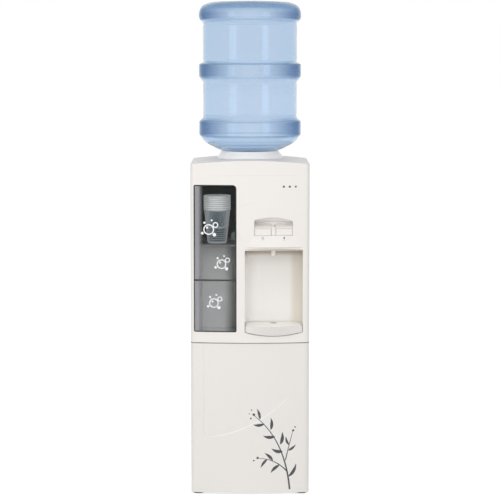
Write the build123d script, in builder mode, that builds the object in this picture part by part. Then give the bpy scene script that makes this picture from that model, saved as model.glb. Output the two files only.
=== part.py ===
"""A floor-standing bottled-water dispenser with hot and cold taps and a cup cupboard.

X runs to the right as the user sees it, Y runs to the back and Z runs up, in millimetres.
The origin is on the floor, under the middle of the whole dispenser.
"""

import os
from math import cos, pi, radians, sin, sqrt

from build123d import *

os.makedirs("parts", exist_ok=True)

# Cabinet
cabinet_width = 310.0
cabinet_depth = 300.0  # from the front corners to the rear edges of the sides
corner_top_z = 868.5  # top of the front panel at its corners
top_rise = 9.5  # how much the crowned top is higher in the middle
front_bow = 13.0  # how far the middle of the front stands before its corners
corner_radius = 14.0
foot_height = 8.0
foot_radius = 14.0
foot_inset = 20.0  # from the cabinet's sides and rear to a foot's axis
front_bottom_z = 5.0
front_split_z = 403.5  # joint between the upper and the lower front
panel_gap = 0.8  # visible joint between neighbouring panels
seat_gap = 0.3  # clearance between pieces that seat on each other
turn_gap = 0.06  # radial clearance of a pin in its hole
overrun = 20.0  # how far a cutting tool runs past what it cuts
front_wall = 3.0
return_depth = 24.0  # how far the front panels wrap round the sides
sheet = 1.2  # steel sheet
front_flange = 6.0
rear_flange = 14.0
pan_lip = 16.0
cover_skirt = 25.0
cover_wall = 2.5
rear_open_z = 215.0  # lower edge of the rear panel, open below it

# Shallow field in the lower front, with a rising lower edge
field_depth = 1.2
field_left_share = -0.78065
field_right_share = 0.79355
field_left_z = 149.0
field_middle_z = 200.0
field_right_z = 263.0

# Window of the cup cupboard in the upper front
window_left_share = -0.94387
window_right_share = -0.22581
window_bottom = 431.5
window_top = 815.8
window_corner = 4.0
window_big_corner = 10.5  # the upper corner on the handle side
frame_gap = 0.2
frame_bead = 2.4  # visible width of the black frame
frame_inset = 0.3
frame_tail = 7.0
bar_bottom = 565.5  # cross bar between the two smoked doors
bar_top = 569.3
door_gap = 0.8
door_inset = 0.3
door_thick = 3.5
door_pivot_edge = 3.4  # from the cup door's hinged edge to its pivot
flap_pivot_edge = 6.0  # from the lower flap's bottom edge to its pivot
trunnion_radius = 1.2
trunnion_length = 1.9
trunnion_root = 4.0
lug_height = 20.0
lug_width = 3.0
lug_depth = 4.0
knob_height = 24.0
knob_width = 10.0
knob_rise = 6.0
knob_z = 684.0

# Cup cupboard behind the window
cupboard_back_from_front = 82.0
cupboard_wall = 1.8
cupboard_corner = 8.0
cup_shelf_z = 660.0
cup_rim_radius = 36.0
cup_base_radius = 24.0
cup_height = 90.0
cup_pitch = 12.0
cup_wall = 0.5
cup_floor = 1.0
cup_lip = 1.4
cup_lip_height = 2.0
cup_count = 4
cup_sides = 24  # flats round a cup
cup_x_share = -0.55484
cup_from_front = 43.0

# Dispensing alcove
alcove_left_share = -0.08774
alcove_right_share = 0.88645
alcove_side_z = 430.6  # lower edge of the opening at its sides
alcove_middle_z = 420.5  # and in the middle
alcove_floor_z = 431.0
alcove_top_z = 645.5
alcove_back_from_front = 82.0
alcove_corner = 36.0
liner_wall = 2.5

# Drip tray
tray_play = 1.4
tray_top_z = 447.0
tray_apron_z = 432.6  # lower edge of the tray's front at its sides
tray_side_reach = 2.0  # how far the rim stands before the front at its sides
tray_reach = 12.0  # and in the middle
apron_reach = 4.0  # and the foot of the apron
tray_wall = 2.2
tray_floor = 2.0
tray_ledge = 2.4
plate_thick = 2.4
plate_gap = 0.4
plate_drop = 0.8
hole_width = 20.0
hole_depth = 14.0
hole_from_front = 58.0

# Raised pad of the front round the taps, and the visor over the alcove
pad_height = 1.2
pad_middle_share = 0.8  # of the pad's height, left in its middle
pad_left_share = -0.1871
pad_corner_z = 757.0
pad_arch_z = 772.6
pad_corner = 8.0
visor_top_z = 684.0
visor_edge_z = 654.7
visor_bottom_z = 646.3
visor_reach = 7.5  # how far the visor's edge stands before the bowed front
visor_tuck = 1.6  # and its lower lip

# Push flaps in their pocket
button_middle_x_share = 0.39355
button_width = 44.0
bridge_width = 11.0
button_bottom_z = 685.0
button_crease_z = 703.6
button_back_z = 712.6
button_back_from_front = 15.0
button_wall = 2.2
button_gap = 0.5
button_proud = 0.9
pocket_wall = 2.5
pocket_back_from_front = 19.0
pocket_top_z = 742.0
scoop_side_z = 728.0
scoop_top_z = 737.0
scoop_back_side_z = 714.8
scoop_back_top_z = 717.5
cheek_back_z = 690.5  # lower edge of a flap's cheeks at the rear
bridge_drop = 0.8
pivot_from_front = -3.6
pivot_z = 688.6
pivot_radius = 1.5
pivot_length = 2.0
rib_width = 8.0
rib_length = 4.0
rib_bottom_z = 700.0

# Child lock in the bridge between the flaps
bolt_radius = 1.0
bolt_gap = 0.3
bolt_from_front = 4.0
bolt_z = 697.0
bolt_tip_inset = 0.4
tab_width = 3.0
tab_depth = 2.4
tab_rise = 2.6
tab_root = 3.0
lock_travel = 4.0

# Taps, valve stems, springs and spout
stem_from_front = 9.4
stem_radius = 2.0
stem_head_radius = 4.4
stem_head = 2.7
stem_gap = 0.4
stem_bottom_z = 662.0
spring_radius = 3.9
spring_wire = 0.8
tap_radius = 10.0  # half the width of a tap body
tap_corner = 2.0
tap_bottom_z = 650.5
tap_floor = 7.0
inlet_z = 668.0
inlet_radius = 3.2
spout_z = 657.0
spout_radius = 4.6
nozzle_radius = 6.5
nozzle_bore = 4.5
nozzle_bottom_z = 630.0
nozzle_gap = 0.5

# Indicator lenses
lens_z = 811.3
lens_radius = 2.75
lens_proud = 0.3
lens_tail = 2.0
lens_left_x_share = 0.56387
lens_pitch = 15.5

# Bottle, collar and neck guard
bottle_from_front = 160.0
bottle_mouth_z = 828.0
bottle_height = 466.0
ring_radius = 136.0  # of the three heavy rings
rim_flat_radius = 112.0
neck_radius = 27.5
neck_height = 56.0
neck_flare = 8.0  # how much higher the neck ends inside
bottle_wall = 2.0
collar_base_radius = 87.0
collar_rim_radius = 73.0
collar_wall = 3.0
collar_rim_z = 896.0
collar_throat_radius = 62.0
collar_flange = 4.0
collar_spigot = 14.0
guard_wall = 2.0
guard_gap = 0.6

# Refrigerated tank and its jacket
shelf_z = 626.0  # top of the upper shelf
shelf_lip = 10.0
shelf_front_from_front = 85.0
cold_radius = 58.0
cold_bottom_z = 637.0
cold_top_z = 842.0
tank_wall = 1.0
foam = 10.0
coil_thick = 3.0
coil_bottom_z = 700.0
coil_height = 90.0
baffle_z = 735.0
baffle_wall = 1.5
baffle_gap = 1.0
baffle_tube_radius = 7.0

# Hot tank and its jacket
hot_shelf_z = 453.0
hot_behind_bottle = 15.0
hot_radius = 50.0
hot_bottom_z = 465.0
hot_top_z = 588.0
heater_radius = 6.0
heater_y_shift = 22.0
heater_flange_radius = 16.0
heater_flange_height = 8.0
heater_height = 70.0

# Hoses and pipes
hose_radius = 4.5
hose_bend = 12.0
hole_gap = 1.5  # radial clearance of a pipe in a plate or a jacket
hot_hose_from_front = 92.7
hot_hose_low_z = 610.0
cold_hose_behind_bottle = -10.0
feed_beside_hot = 11.5
feed_behind_bottle = 2.0
drain_z = 436.0
drain_tail = 12.0
plug_radius = 8.0
plug_length = 13.0
plug_cap = 4.0

# Refrigeration at the rear
compressor_x_share = -0.19355
compressor_from_rear = 90.0
compressor_radius = 60.0
compressor_bottom_z = 22.0
compressor_height = 150.0
compressor_dome = 26.0
compressor_foot_width = 150.0
compressor_foot_depth = 90.0
compressor_foot_thick = 2.5
terminal_width = 40.0
terminal_depth = 22.0
terminal_height = 46.0
terminal_z = 80.0
rubber_half = 10.0  # half the width of a rubber pad
suction_radius = 4.0
suction_x_share = -0.74194
suction_forward = 5.0  # of the middle between the compressor and the tank
suction_z = 118.0
suction_top_z = 745.0
coil_radius = 2.5
coil_sides = 6
coil_left_share = -0.72258
coil_right_share = 0.72258
coil_top_z = 800.0
coil_passes = 5
coil_pass_pitch = 68.0
coil_drop_x_share = -0.83226
coil_inlet_z = 96.0
coil_inlet_from_rear = 66.0
wire_width = 1.6
wire_count = 14
bracket_width = 14.0
bracket_thick = 1.5
drier_radius = 9.0
drier_from_rear = 32.0
drier_bottom_z = 70.0
drier_height = 80.0

# Rear panel fittings
louvre_width = 52.0
louvre_height = 4.0
louvre_pitch = 12.0
louvre_rows = 9
louvre_middle_x_share = -0.42581
louvre_column_pitch = 62.0
louvre_z = 300.0
switch_hot_x_share = 0.4
switch_cold_x_share = 0.61935
switch_z = 330.0
switch_width = 15.0
switch_height = 21.0
switch_flange = 2.0
switch_flange_thick = 2.0
switch_body_depth = 14.0
switch_wall = 1.6
rocker_gap = 0.4
rocker_tilt = 8.0  # degrees either way
rocker_rise = 3.2
rocker_root = 6.0
rocker_pin = 1.2
gland_x_share = 0.61935
gland_z = 250.0
gland_radius = 7.0
gland_flange_radius = 10.0
gland_flange_thick = 3.0
gland_tail = 6.0
gland_bore = 3.6

half_width = cabinet_width / 2
corner_y = -cabinet_depth / 2
rear_y = cabinet_depth / 2
return_back_y = corner_y + return_depth

# Places across, as shares of half the width, and places in depth, from the front corners or the rear
cupboard_back_y = corner_y + cupboard_back_from_front
alcove_back_y = corner_y + alcove_back_from_front
cup_y = corner_y + cup_from_front
hole_y = corner_y + hole_from_front
button_back_y = corner_y + button_back_from_front
pocket_back_y = corner_y + pocket_back_from_front
pivot_y = corner_y + pivot_from_front
bolt_y = corner_y + bolt_from_front
stem_y = corner_y + stem_from_front
shelf_front_y = corner_y + shelf_front_from_front
bottle_y = corner_y + bottle_from_front
hot_hose_y = corner_y + hot_hose_from_front
compressor_y = rear_y - compressor_from_rear
coil_inlet_y = rear_y - coil_inlet_from_rear
drier_y = rear_y - drier_from_rear
hot_y = bottle_y + hot_behind_bottle
cold_hose_y = bottle_y + cold_hose_behind_bottle
feed_y = bottle_y + feed_behind_bottle
suction_y = (compressor_y + bottle_y) / 2 - suction_forward
field_left = field_left_share * half_width
field_right = field_right_share * half_width
window_left = window_left_share * half_width
window_right = window_right_share * half_width
cup_x = cup_x_share * half_width
alcove_left = alcove_left_share * half_width
alcove_right = alcove_right_share * half_width
pad_left = pad_left_share * half_width
button_middle_x = button_middle_x_share * half_width
lens_left_x = lens_left_x_share * half_width
compressor_x = compressor_x_share * half_width
suction_x = suction_x_share * half_width
coil_left = coil_left_share * half_width
coil_right = coil_right_share * half_width
coil_drop_x = coil_drop_x_share * half_width
louvre_middle_x = louvre_middle_x_share * half_width
switch_hot_x = switch_hot_x_share * half_width
switch_cold_x = switch_cold_x_share * half_width
gland_x = gland_x_share * half_width

side_front_y = return_back_y + seat_gap
side_bottom_z = foot_height + sheet + seat_gap
side_top_z = corner_top_z - cover_skirt - seat_gap
crown_z = corner_top_z + top_rise
front_radius = (half_width**2 + front_bow**2) / (2 * front_bow)
front_centre_y = corner_y - front_bow + front_radius
alcove_x = (alcove_left + alcove_right) / 2
tap_offset = (button_width + bridge_width) / 2
door_margin = frame_gap + frame_bead + door_gap
door_middle = door_inset + door_thick / 2


def front_y(x, inset=0.0):
    """Y of the bowed front at x, or of a face that lies inset behind it."""
    return front_centre_y - sqrt((front_radius - inset) ** 2 - x**2)


def save(part, label):
    """Label one finished piece and write its file."""
    part.label = label
    export_step(part, f"parts/{label}.step")


def front_plan(inset, back_y):
    """Plan of what lies behind the bowed front and between the sides, inset from both."""
    half = half_width - inset
    side_y = front_y(half, inset)
    with BuildSketch() as plan:
        with BuildLine():
            ThreePointArc((-half, side_y), (0, front_y(0, inset)), (half, side_y))
            Polyline((half, side_y), (half, back_y), (-half, back_y), (-half, side_y))
        make_face()
        fillet(plan.vertices().group_by(Axis.Y)[0], corner_radius - inset)
    return plan.sketch


def bow_arc(left, right, inset):
    """Stretch of the bowed front, or of a face that lies inset behind it."""
    middle = (left + right) / 2
    points = [(x, front_y(x, inset)) for x in (left, middle, right)]
    return ThreePointArc(*points)


def front_band(outer, inner, left=-half_width, right=half_width):
    """Plan of a strip that follows the bowed front, between two insets."""
    with BuildSketch() as band:
        with BuildLine():
            bow_arc(left, right, outer)
            bow_arc(left, right, inner)
            Line((left, front_y(left, outer)), (left, front_y(left, inner)))
            Line((right, front_y(right, outer)), (right, front_y(right, inner)))
        make_face()
    return band.sketch


def bay_plan(left, right, front_inset, back_y, back_corner):
    """Plan of a bay behind the bowed front, with round rear corners."""
    with BuildSketch() as plan:
        with BuildLine():
            bow_arc(left, right, front_inset)
            Polyline(
                (right, front_y(right, front_inset)),
                (right, back_y),
                (left, back_y),
                (left, front_y(left, front_inset)),
            )
        make_face()
        fillet(plan.vertices().group_by(Axis.Y)[-1], back_corner)
    return plan.sketch


def crowned_block(plan, bottom_z, drop=0.0):
    """What stands on a plan at bottom_z and ends under the crowned top, lowered by drop."""
    top_radius = (half_width**2 + top_rise**2) / (2 * top_rise)
    centre_z = crown_z - top_radius - drop
    arc = [(x, centre_z + sqrt(top_radius**2 - x**2)) for x in (-half_width, 0, half_width)]
    with BuildPart() as block:
        with BuildSketch(Plane.XY.offset(bottom_z)):
            add(plan)
        extrude(amount=crown_z + overrun - bottom_z)
        with BuildSketch(Plane.XZ):
            with BuildLine():
                ThreePointArc(*arc)
                Polyline(arc[2], (half_width, 0), (-half_width, 0), arc[0])
            make_face()
        extrude(amount=cabinet_depth, both=True, mode=Mode.INTERSECT)
    return block.part


def bowed_slab(view, outer, inner):
    """Solid of a front-view outline, between two insets from the bowed front."""
    with BuildPart() as slab:
        with BuildSketch(Plane.XZ):
            add(view)
        extrude(amount=cabinet_depth)
        with BuildSketch(Plane.XY):
            add(front_band(outer, inner))
        extrude(amount=crown_z + overrun, mode=Mode.INTERSECT)
    return slab.part


def window_view(margin, low_z=window_bottom, high_z=window_top):
    """Front view of the window, taken in by margin, between two heights."""
    middle = ((window_left + window_right) / 2, (window_bottom + window_top) / 2)
    width = window_right - window_left - 2 * margin
    with BuildSketch() as view:
        with Locations(middle):
            Rectangle(width, window_top - window_bottom - 2 * margin)
        corners = view.vertices().sort_by(Axis.X)
        big = corners[2:].sort_by(Axis.Y)[-1]
        fillet([corner for corner in corners if corner != big], window_corner - margin)
        corners = view.vertices().group_by(Axis.Y)[-1]
        fillet(corners.sort_by(Axis.X)[-1], window_big_corner - margin)
        with Locations((middle[0], (low_z + high_z) / 2)):
            Rectangle(width, high_z - low_z, mode=Mode.INTERSECT)
    return view.sketch


def pipe(points, radius):
    """Hidden pipe along straight runs with elbows."""
    with BuildPart() as tube:
        with BuildLine() as route:
            Polyline(*points)
        with BuildSketch(Plane(origin=route.line @ 0, z_dir=route.line % 0)):
            Circle(radius)
        sweep(path=route.line, transition=Transition.RIGHT)
    return tube.part


def turned(profile, x=0.0, y=0.0):
    """Solid of revolution about a vertical axis, from points of radius and height."""
    with BuildPart() as solid:
        with BuildSketch(Plane(origin=(x, y, 0), x_dir=(1, 0, 0), z_dir=(0, -1, 0))):
            with BuildLine():
                Polyline(*profile, close=True)
            make_face()
        revolve(axis=Axis((x, y, 0), (0, 0, 1)))
    return solid.part


def flat_turned(profile, sides, x, y):
    """Solid like a turned one but with flat sides, closed at both ends of its points."""
    step = 2 * pi / sides
    turns = [(cos(k * step), sin(k * step)) for k in range(sides)]
    rings = [[(x + r * across, y + r * deep, z) for across, deep in turns] for r, z in profile]
    faces = [Face(Wire.make_polygon(ring)) for ring in (rings[0], rings[-1])]
    for low, high in zip(rings, rings[1:]):
        for k in range(sides):
            after = (k + 1) % sides
            faces.append(Face(Wire.make_polygon((low[k], low[after], high[after], high[k]))))
    return Solid(Shell(faces))


# Base pan: its front part is narrower, inside the lower front
with BuildPart() as base_pan:
    pan_front_y = corner_y + front_wall + seat_gap
    inner_half = half_width - front_wall - seat_gap
    wide_half = half_width - sheet - seat_gap
    with BuildSketch(Plane.XY.offset(foot_height)):
        with Locations((0, (pan_front_y + rear_y) / 2)):
            nose = Rectangle(2 * inner_half, rear_y - pan_front_y)
        fillet(nose.vertices().group_by(Axis.Y)[0], corner_radius - front_wall - seat_gap)
        with Locations((0, (side_front_y + rear_y) / 2)):
            Rectangle(2 * wide_half, rear_y - side_front_y)
    extrude(amount=pan_lip)
    offset(amount=-sheet, openings=base_pan.faces().sort_by(Axis.Z)[-1])
save(base_pan.part, "base_pan")

# Rubber feet
with BuildPart() as feet:
    with GridLocations(cabinet_width - 2 * foot_inset, cabinet_depth - 2 * foot_inset, 2, 2):
        Cylinder(foot_radius, foot_height, align=(Align.CENTER, Align.CENTER, Align.MIN))
save(feet.part, "feet")

# Side panels, folded from sheet, with their inner folds cut away over the pan's lip
for label, side in (("left_side_panel", -1), ("right_side_panel", 1)):
    outer = side * half_width
    inner = side * (half_width - sheet)
    front_fold = side * (half_width - front_flange)
    rear_fold = side * (half_width - rear_flange)
    with BuildPart() as side_panel:
        with BuildSketch(Plane.XY.offset(side_bottom_z)):
            with BuildLine():
                Polyline(
                    (front_fold, side_front_y),
                    (outer, side_front_y),
                    (outer, rear_y),
                    (rear_fold, rear_y),
                    (rear_fold, rear_y - sheet),
                    (inner, rear_y - sheet),
                    (inner, side_front_y + sheet),
                    (front_fold, side_front_y + sheet),
                    close=True,
                )
            make_face()
        extrude(amount=side_top_z - side_bottom_z)
        with BuildSketch(Plane.XY.offset(side_bottom_z)):
            with Locations((side * (half_width - sheet - rear_flange / 2), 0)):
                Rectangle(rear_flange, cabinet_depth + overrun)
        extrude(amount=foot_height + pan_lip + seat_gap - side_bottom_z, mode=Mode.SUBTRACT)
    save(side_panel.part, label)

# Lower front, with its shallow field
with BuildPart() as lower_front:
    with BuildSketch(Plane.XY.offset(front_bottom_z)):
        add(front_plan(0, return_back_y))
        add(front_plan(front_wall, return_back_y), mode=Mode.SUBTRACT)
    extrude(amount=front_split_z - panel_gap / 2 - front_bottom_z)
    with BuildSketch(mode=Mode.PRIVATE) as field:
        with BuildLine():
            ThreePointArc(
                (field_left, field_left_z),
                ((field_left + field_right) / 2, field_middle_z),
                (field_right, field_right_z),
            )
            Polyline(
                (field_right, field_right_z),
                (field_right, front_split_z + overrun),
                (field_left, front_split_z + overrun),
                (field_left, field_left_z),
            )
        make_face()
    add(bowed_slab(field.sketch, -overrun, field_depth), mode=Mode.SUBTRACT)
save(lower_front.part, "lower_front")


def pad_view():
    """Front view of the raised pad round the taps, with an arched top."""
    with BuildSketch() as view:
        with BuildLine():
            ThreePointArc((pad_left, pad_corner_z), (alcove_x, pad_arch_z), (half_width, pad_corner_z))
            Polyline(
                (half_width, pad_corner_z),
                (half_width, front_split_z + panel_gap / 2),
                (pad_left, front_split_z + panel_gap / 2),
                (pad_left, pad_corner_z),
            )
        make_face()
        fillet(view.vertices().group_by(Axis.Y)[-1].sort_by(Axis.X)[0], pad_corner)
    return view.sketch


def pad_block():
    """The pad: it stands proud at its left edge and fades out at the right corner."""
    right = half_width - corner_radius
    middle = (pad_left + right) / 2
    with BuildSketch() as plan:
        with BuildLine():
            ThreePointArc(
                (pad_left, front_y(pad_left, -pad_height)),
                (middle, front_y(middle, -pad_height * pad_middle_share)),
                (right, front_y(right)),
            )
            bow_arc(pad_left, right, front_wall / 2)
            Line((pad_left, front_y(pad_left, -pad_height)), (pad_left, front_y(pad_left, front_wall / 2)))
            Line((right, front_y(right)), (right, front_y(right, front_wall / 2)))
        make_face()
    with BuildPart() as block:
        with BuildSketch(Plane.XZ):
            add(pad_view())
        extrude(amount=cabinet_depth)
        with BuildSketch(Plane.XY):
            add(plan.sketch)
        extrude(amount=crown_z, mode=Mode.INTERSECT)
    return block.part


def visor_section(z, reach):
    """Level section of the visor: its lip bulges by reach before the bowed front."""
    with BuildSketch(Plane.XY.offset(z)) as section:
        with BuildLine():
            ThreePointArc(
                (alcove_left, front_y(alcove_left)),
                (alcove_x, front_y(alcove_x, -reach)),
                (alcove_right, front_y(alcove_right)),
            )
            bow_arc(alcove_left, alcove_right, front_wall)
            Line((alcove_left, front_y(alcove_left)), (alcove_left, front_y(alcove_left, front_wall)))
            Line((alcove_right, front_y(alcove_right)), (alcove_right, front_y(alcove_right, front_wall)))
        make_face()
    return section.sketch


def arch_view(left, right, low_z, side_z, top_z, y):
    """Outline with an arched top, standing at y."""
    with BuildSketch(Plane.XZ.offset(-y)) as view:
        with BuildLine():
            ThreePointArc((left, side_z), ((left + right) / 2, top_z), (right, side_z))
            Polyline((right, side_z), (right, low_z), (left, low_z), (left, side_z))
        make_face()
    return view.sketch


def bay_view(left, right, side_z, middle_z, top_z):
    """Front view of the alcove's opening, with a sagging lower edge."""
    with BuildSketch() as view:
        with BuildLine():
            ThreePointArc((left, side_z), ((left + right) / 2, middle_z), (right, side_z))
            Polyline((right, side_z), (right, top_z), (left, top_z), (left, side_z))
        make_face()
    return view.sketch


def flap_profile(front, drop, y_back=button_back_y):
    """Side view of a push flap's outside: points of Y and Z, lowered by drop."""
    return (
        (front, button_bottom_z),
        (front, button_crease_z - drop),
        (y_back, button_back_z - drop),
        (y_back, cheek_back_z),
    )


# Upper front: a bowed shell with pad, visor, pocket for the flaps, alcove and window
pocket_left = button_middle_x - tap_offset - button_width / 2 - button_gap
pocket_right = button_middle_x + tap_offset + button_width / 2 + button_gap
pocket_floor_z = button_bottom_z - button_gap
pocket_front_y = min(front_y(pocket_left), front_y(pocket_right)) - overrun / 2
bridge_left = button_middle_x - bridge_width / 2 + button_gap
bridge_right = button_middle_x + bridge_width / 2 - button_gap
slot_right = bridge_right - bolt_gap * 3
tab_x = slot_right - bolt_gap - tab_width / 2
slot_left = tab_x - tab_width / 2 - lock_travel - bolt_gap
lens_xs = [lens_left_x + index * lens_pitch for index in range(3)]
shell_plan = front_plan(0, return_back_y) - front_plan(front_wall, return_back_y)
with BuildPart() as upper_front:
    add(crowned_block(shell_plan, front_split_z + panel_gap / 2))
    add(pad_block())
    with BuildSketch(Plane.XY.offset(pocket_floor_z - pocket_wall)):
        with BuildLine():
            bow_arc(pocket_left - pocket_wall, pocket_right + pocket_wall, front_wall / 2)
            Polyline(
                (pocket_right + pocket_wall, front_y(pocket_right + pocket_wall, front_wall / 2)),
                (pocket_right + pocket_wall, pocket_back_y + pocket_wall),
                (pocket_left - pocket_wall, pocket_back_y + pocket_wall),
                (pocket_left - pocket_wall, front_y(pocket_left - pocket_wall, front_wall / 2)),
            )
        make_face()
    extrude(amount=pocket_top_z - pocket_floor_z + pocket_wall)
    scoop_front = arch_view(
        pocket_left, pocket_right, pocket_floor_z, scoop_side_z, scoop_top_z, pocket_front_y
    )
    scoop_back = arch_view(
        pocket_left, pocket_right, pocket_floor_z, scoop_back_side_z, scoop_back_top_z, pocket_back_y
    )
    loft([scoop_front, scoop_back], ruled=True, mode=Mode.SUBTRACT)
    with BuildSketch(Plane.YZ.offset(bridge_left)):
        with BuildLine():
            bridge_front_y = front_y(button_middle_x, -pad_height / 2)
            Polyline(*flap_profile(bridge_front_y, bridge_drop, pocket_back_y + pocket_wall), close=True)
        make_face()
        with Locations((pivot_y, pocket_floor_z)):
            Rectangle(2 * rib_length, 2 * button_gap + pocket_wall)
    extrude(amount=bridge_right - bridge_left)
    visor = (
        visor_section(visor_top_z, pad_height / 2),
        visor_section(visor_edge_z, visor_reach),
        visor_section(visor_bottom_z, visor_tuck),
    )
    loft(visor, ruled=True)
    alcove_view = bay_view(alcove_left, alcove_right, alcove_side_z, alcove_middle_z, alcove_top_z)
    add(bowed_slab(alcove_view, -visor_reach - overrun / 2, overrun), mode=Mode.SUBTRACT)
    add(bowed_slab(window_view(0), -overrun, overrun), mode=Mode.SUBTRACT)
    for x in lens_xs:
        with Locations(Location((x, front_y(x), lens_z), (90, 0, 0))):
            Cylinder(lens_radius + frame_gap / 2, overrun, mode=Mode.SUBTRACT)
    for x in (pocket_left, bridge_left, bridge_right, pocket_right):
        with Locations(Location((x, pivot_y, pivot_z), (0, 90, 0))):
            Cylinder(pivot_radius + turn_gap, 2 * pivot_length, mode=Mode.SUBTRACT)
    for x in (button_middle_x - tap_offset, button_middle_x + tap_offset):
        with Locations((x, stem_y, pocket_floor_z)):
            Cylinder(stem_radius + stem_gap, overrun / 2, mode=Mode.SUBTRACT)
    with Locations(((slot_left + slot_right) / 2, bolt_y, bolt_z - tab_root)):
        Box(
            slot_right - slot_left,
            tab_depth + 2 * bolt_gap,
            overrun,
            align=(Align.CENTER, Align.CENTER, Align.MIN),
            mode=Mode.SUBTRACT,
        )
    with Locations(Location((bridge_left, bolt_y, bolt_z), (0, 90, 0))):
        Cylinder(bolt_radius + bolt_gap, slot_left - bridge_left + bridge_width / 2, mode=Mode.SUBTRACT)
save(upper_front.part, "upper_front")

# Top cover: a crowned lid with a skirt, inside the upper front and over the sides
cover_bottom_z = side_top_z + seat_gap


def cover_plan(inset):
    """Plan of the top cover, taken in by inset."""
    with BuildSketch() as plan:
        add(front_plan(front_wall + seat_gap + inset, rear_y - inset))
        with Locations((0, (side_front_y + inset + rear_y - inset) / 2)):
            Rectangle(cabinet_width - 2 * inset, rear_y - side_front_y - 2 * inset)
    return plan.sketch


with BuildPart() as top_cover:
    add(crowned_block(cover_plan(0), cover_bottom_z))
    add(crowned_block(cover_plan(cover_wall), cover_bottom_z - overrun, cover_wall), mode=Mode.SUBTRACT)
    with Locations((0, bottle_y, crown_z)):
        Cylinder(collar_throat_radius + collar_wall + seat_gap, 2 * overrun, mode=Mode.SUBTRACT)
save(top_cover.part, "top_cover")

# Bottle collar: a flared ring on the cover, with a spigot through its hole
collar_outline = (
    (collar_throat_radius, crown_z - collar_spigot),
    (collar_throat_radius + collar_wall, crown_z - collar_spigot),
    (collar_throat_radius + collar_wall, crown_z - top_rise),
    (collar_base_radius, crown_z - top_rise),
    (collar_base_radius, crown_z + collar_flange),
    (collar_rim_radius + collar_wall, collar_rim_z),
    (collar_rim_radius, collar_rim_z),
    (collar_rim_radius, crown_z + collar_flange),
    (collar_throat_radius, crown_z + collar_flange),
)
with BuildPart() as bottle_collar:
    add(turned(collar_outline, 0, bottle_y))
    with BuildSketch(Plane.XY.offset(corner_top_z - cover_skirt)) as around:
        with Locations((0, bottle_y)):
            Circle(collar_base_radius + overrun)
            Circle(collar_throat_radius + collar_wall, mode=Mode.SUBTRACT)
    add(crowned_block(around.sketch, corner_top_z - cover_skirt, -seat_gap), mode=Mode.SUBTRACT)
save(bottle_collar.part, "bottle_collar")

# Window frame with its cross bar and the sockets of both doors
upper_door_low_z = bar_top + door_gap
upper_door_high_z = window_top - door_margin
lower_door_low_z = window_bottom + door_margin
lower_door_high_z = bar_bottom - door_gap
door_pivot_x = window_left + door_margin + door_pivot_edge
door_pivot_y = front_y(door_pivot_x, door_middle)
flap_pivot_z = lower_door_low_z + flap_pivot_edge
flap_left = window_left + door_margin
flap_right = window_right - door_margin
flap_left_y = front_y(flap_left, door_middle)
flap_right_y = front_y(flap_right, door_middle)
socket_depth = trunnion_length - door_gap + seat_gap


def trunnion(x, y, z, direction, radius, length):
    """Round pin or its hole, from a point in a direction."""
    with BuildPart() as pin:
        with BuildSketch(Plane(origin=(x, y, z), z_dir=direction)):
            Circle(radius)
        extrude(amount=length)
    return pin.part


with BuildPart() as window_frame:
    with BuildSketch(mode=Mode.PRIVATE) as frame_view:
        add(window_view(frame_gap))
        add(window_view(frame_gap + frame_bead), mode=Mode.SUBTRACT)
        with Locations(((window_left + window_right) / 2, (bar_bottom + bar_top) / 2)):
            Rectangle(window_right - window_left - 2 * (frame_gap + frame_bead / 2), bar_top - bar_bottom)
    add(bowed_slab(frame_view.sketch, frame_inset, frame_tail))
    hole = trunnion_radius + turn_gap
    top_z = upper_door_high_z + door_gap
    add(trunnion(door_pivot_x, door_pivot_y, bar_top, (0, 0, -1), hole, socket_depth), mode=Mode.SUBTRACT)
    add(trunnion(door_pivot_x, door_pivot_y, top_z, (0, 0, 1), hole, socket_depth), mode=Mode.SUBTRACT)
    slant = (flap_right - flap_left, flap_right_y - flap_left_y, 0)
    back = (flap_left - flap_right, flap_left_y - flap_right_y, 0)
    reach = trunnion_length + seat_gap
    add(trunnion(flap_left, flap_left_y, flap_pivot_z, back, hole, reach), mode=Mode.SUBTRACT)
    add(trunnion(flap_right, flap_right_y, flap_pivot_z, slant, hole, reach), mode=Mode.SUBTRACT)
save(window_frame.part, "window_frame")

# Cup door: smoked, bowed like the front, hinged at its left edge
with BuildPart() as cup_door:
    door_view = window_view(door_margin, upper_door_low_z, window_top)
    add(bowed_slab(door_view, door_inset, door_inset + door_thick))
    pin = trunnion_length + trunnion_root
    low_z = upper_door_low_z + trunnion_root
    high_z = upper_door_high_z - trunnion_root
    add(trunnion(door_pivot_x, door_pivot_y, low_z, (0, 0, -1), trunnion_radius, pin))
    add(trunnion(door_pivot_x, door_pivot_y, high_z, (0, 0, 1), trunnion_radius, pin))
save(cup_door.part, "cup_door")

# Finger knob on the free edge of the cup door
with BuildPart() as door_knob:
    knob_x = window_right - door_margin - door_gap
    with BuildSketch(mode=Mode.PRIVATE) as knob_view:
        with Locations((knob_x, knob_z)):
            Ellipse(knob_width, knob_height / 2)
        with Locations((knob_x + knob_width, knob_z)):
            Rectangle(2 * knob_width, knob_height, mode=Mode.SUBTRACT)
    add(bowed_slab(knob_view.sketch, -knob_rise, door_inset))
save(door_knob.part, "door_knob")

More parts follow.
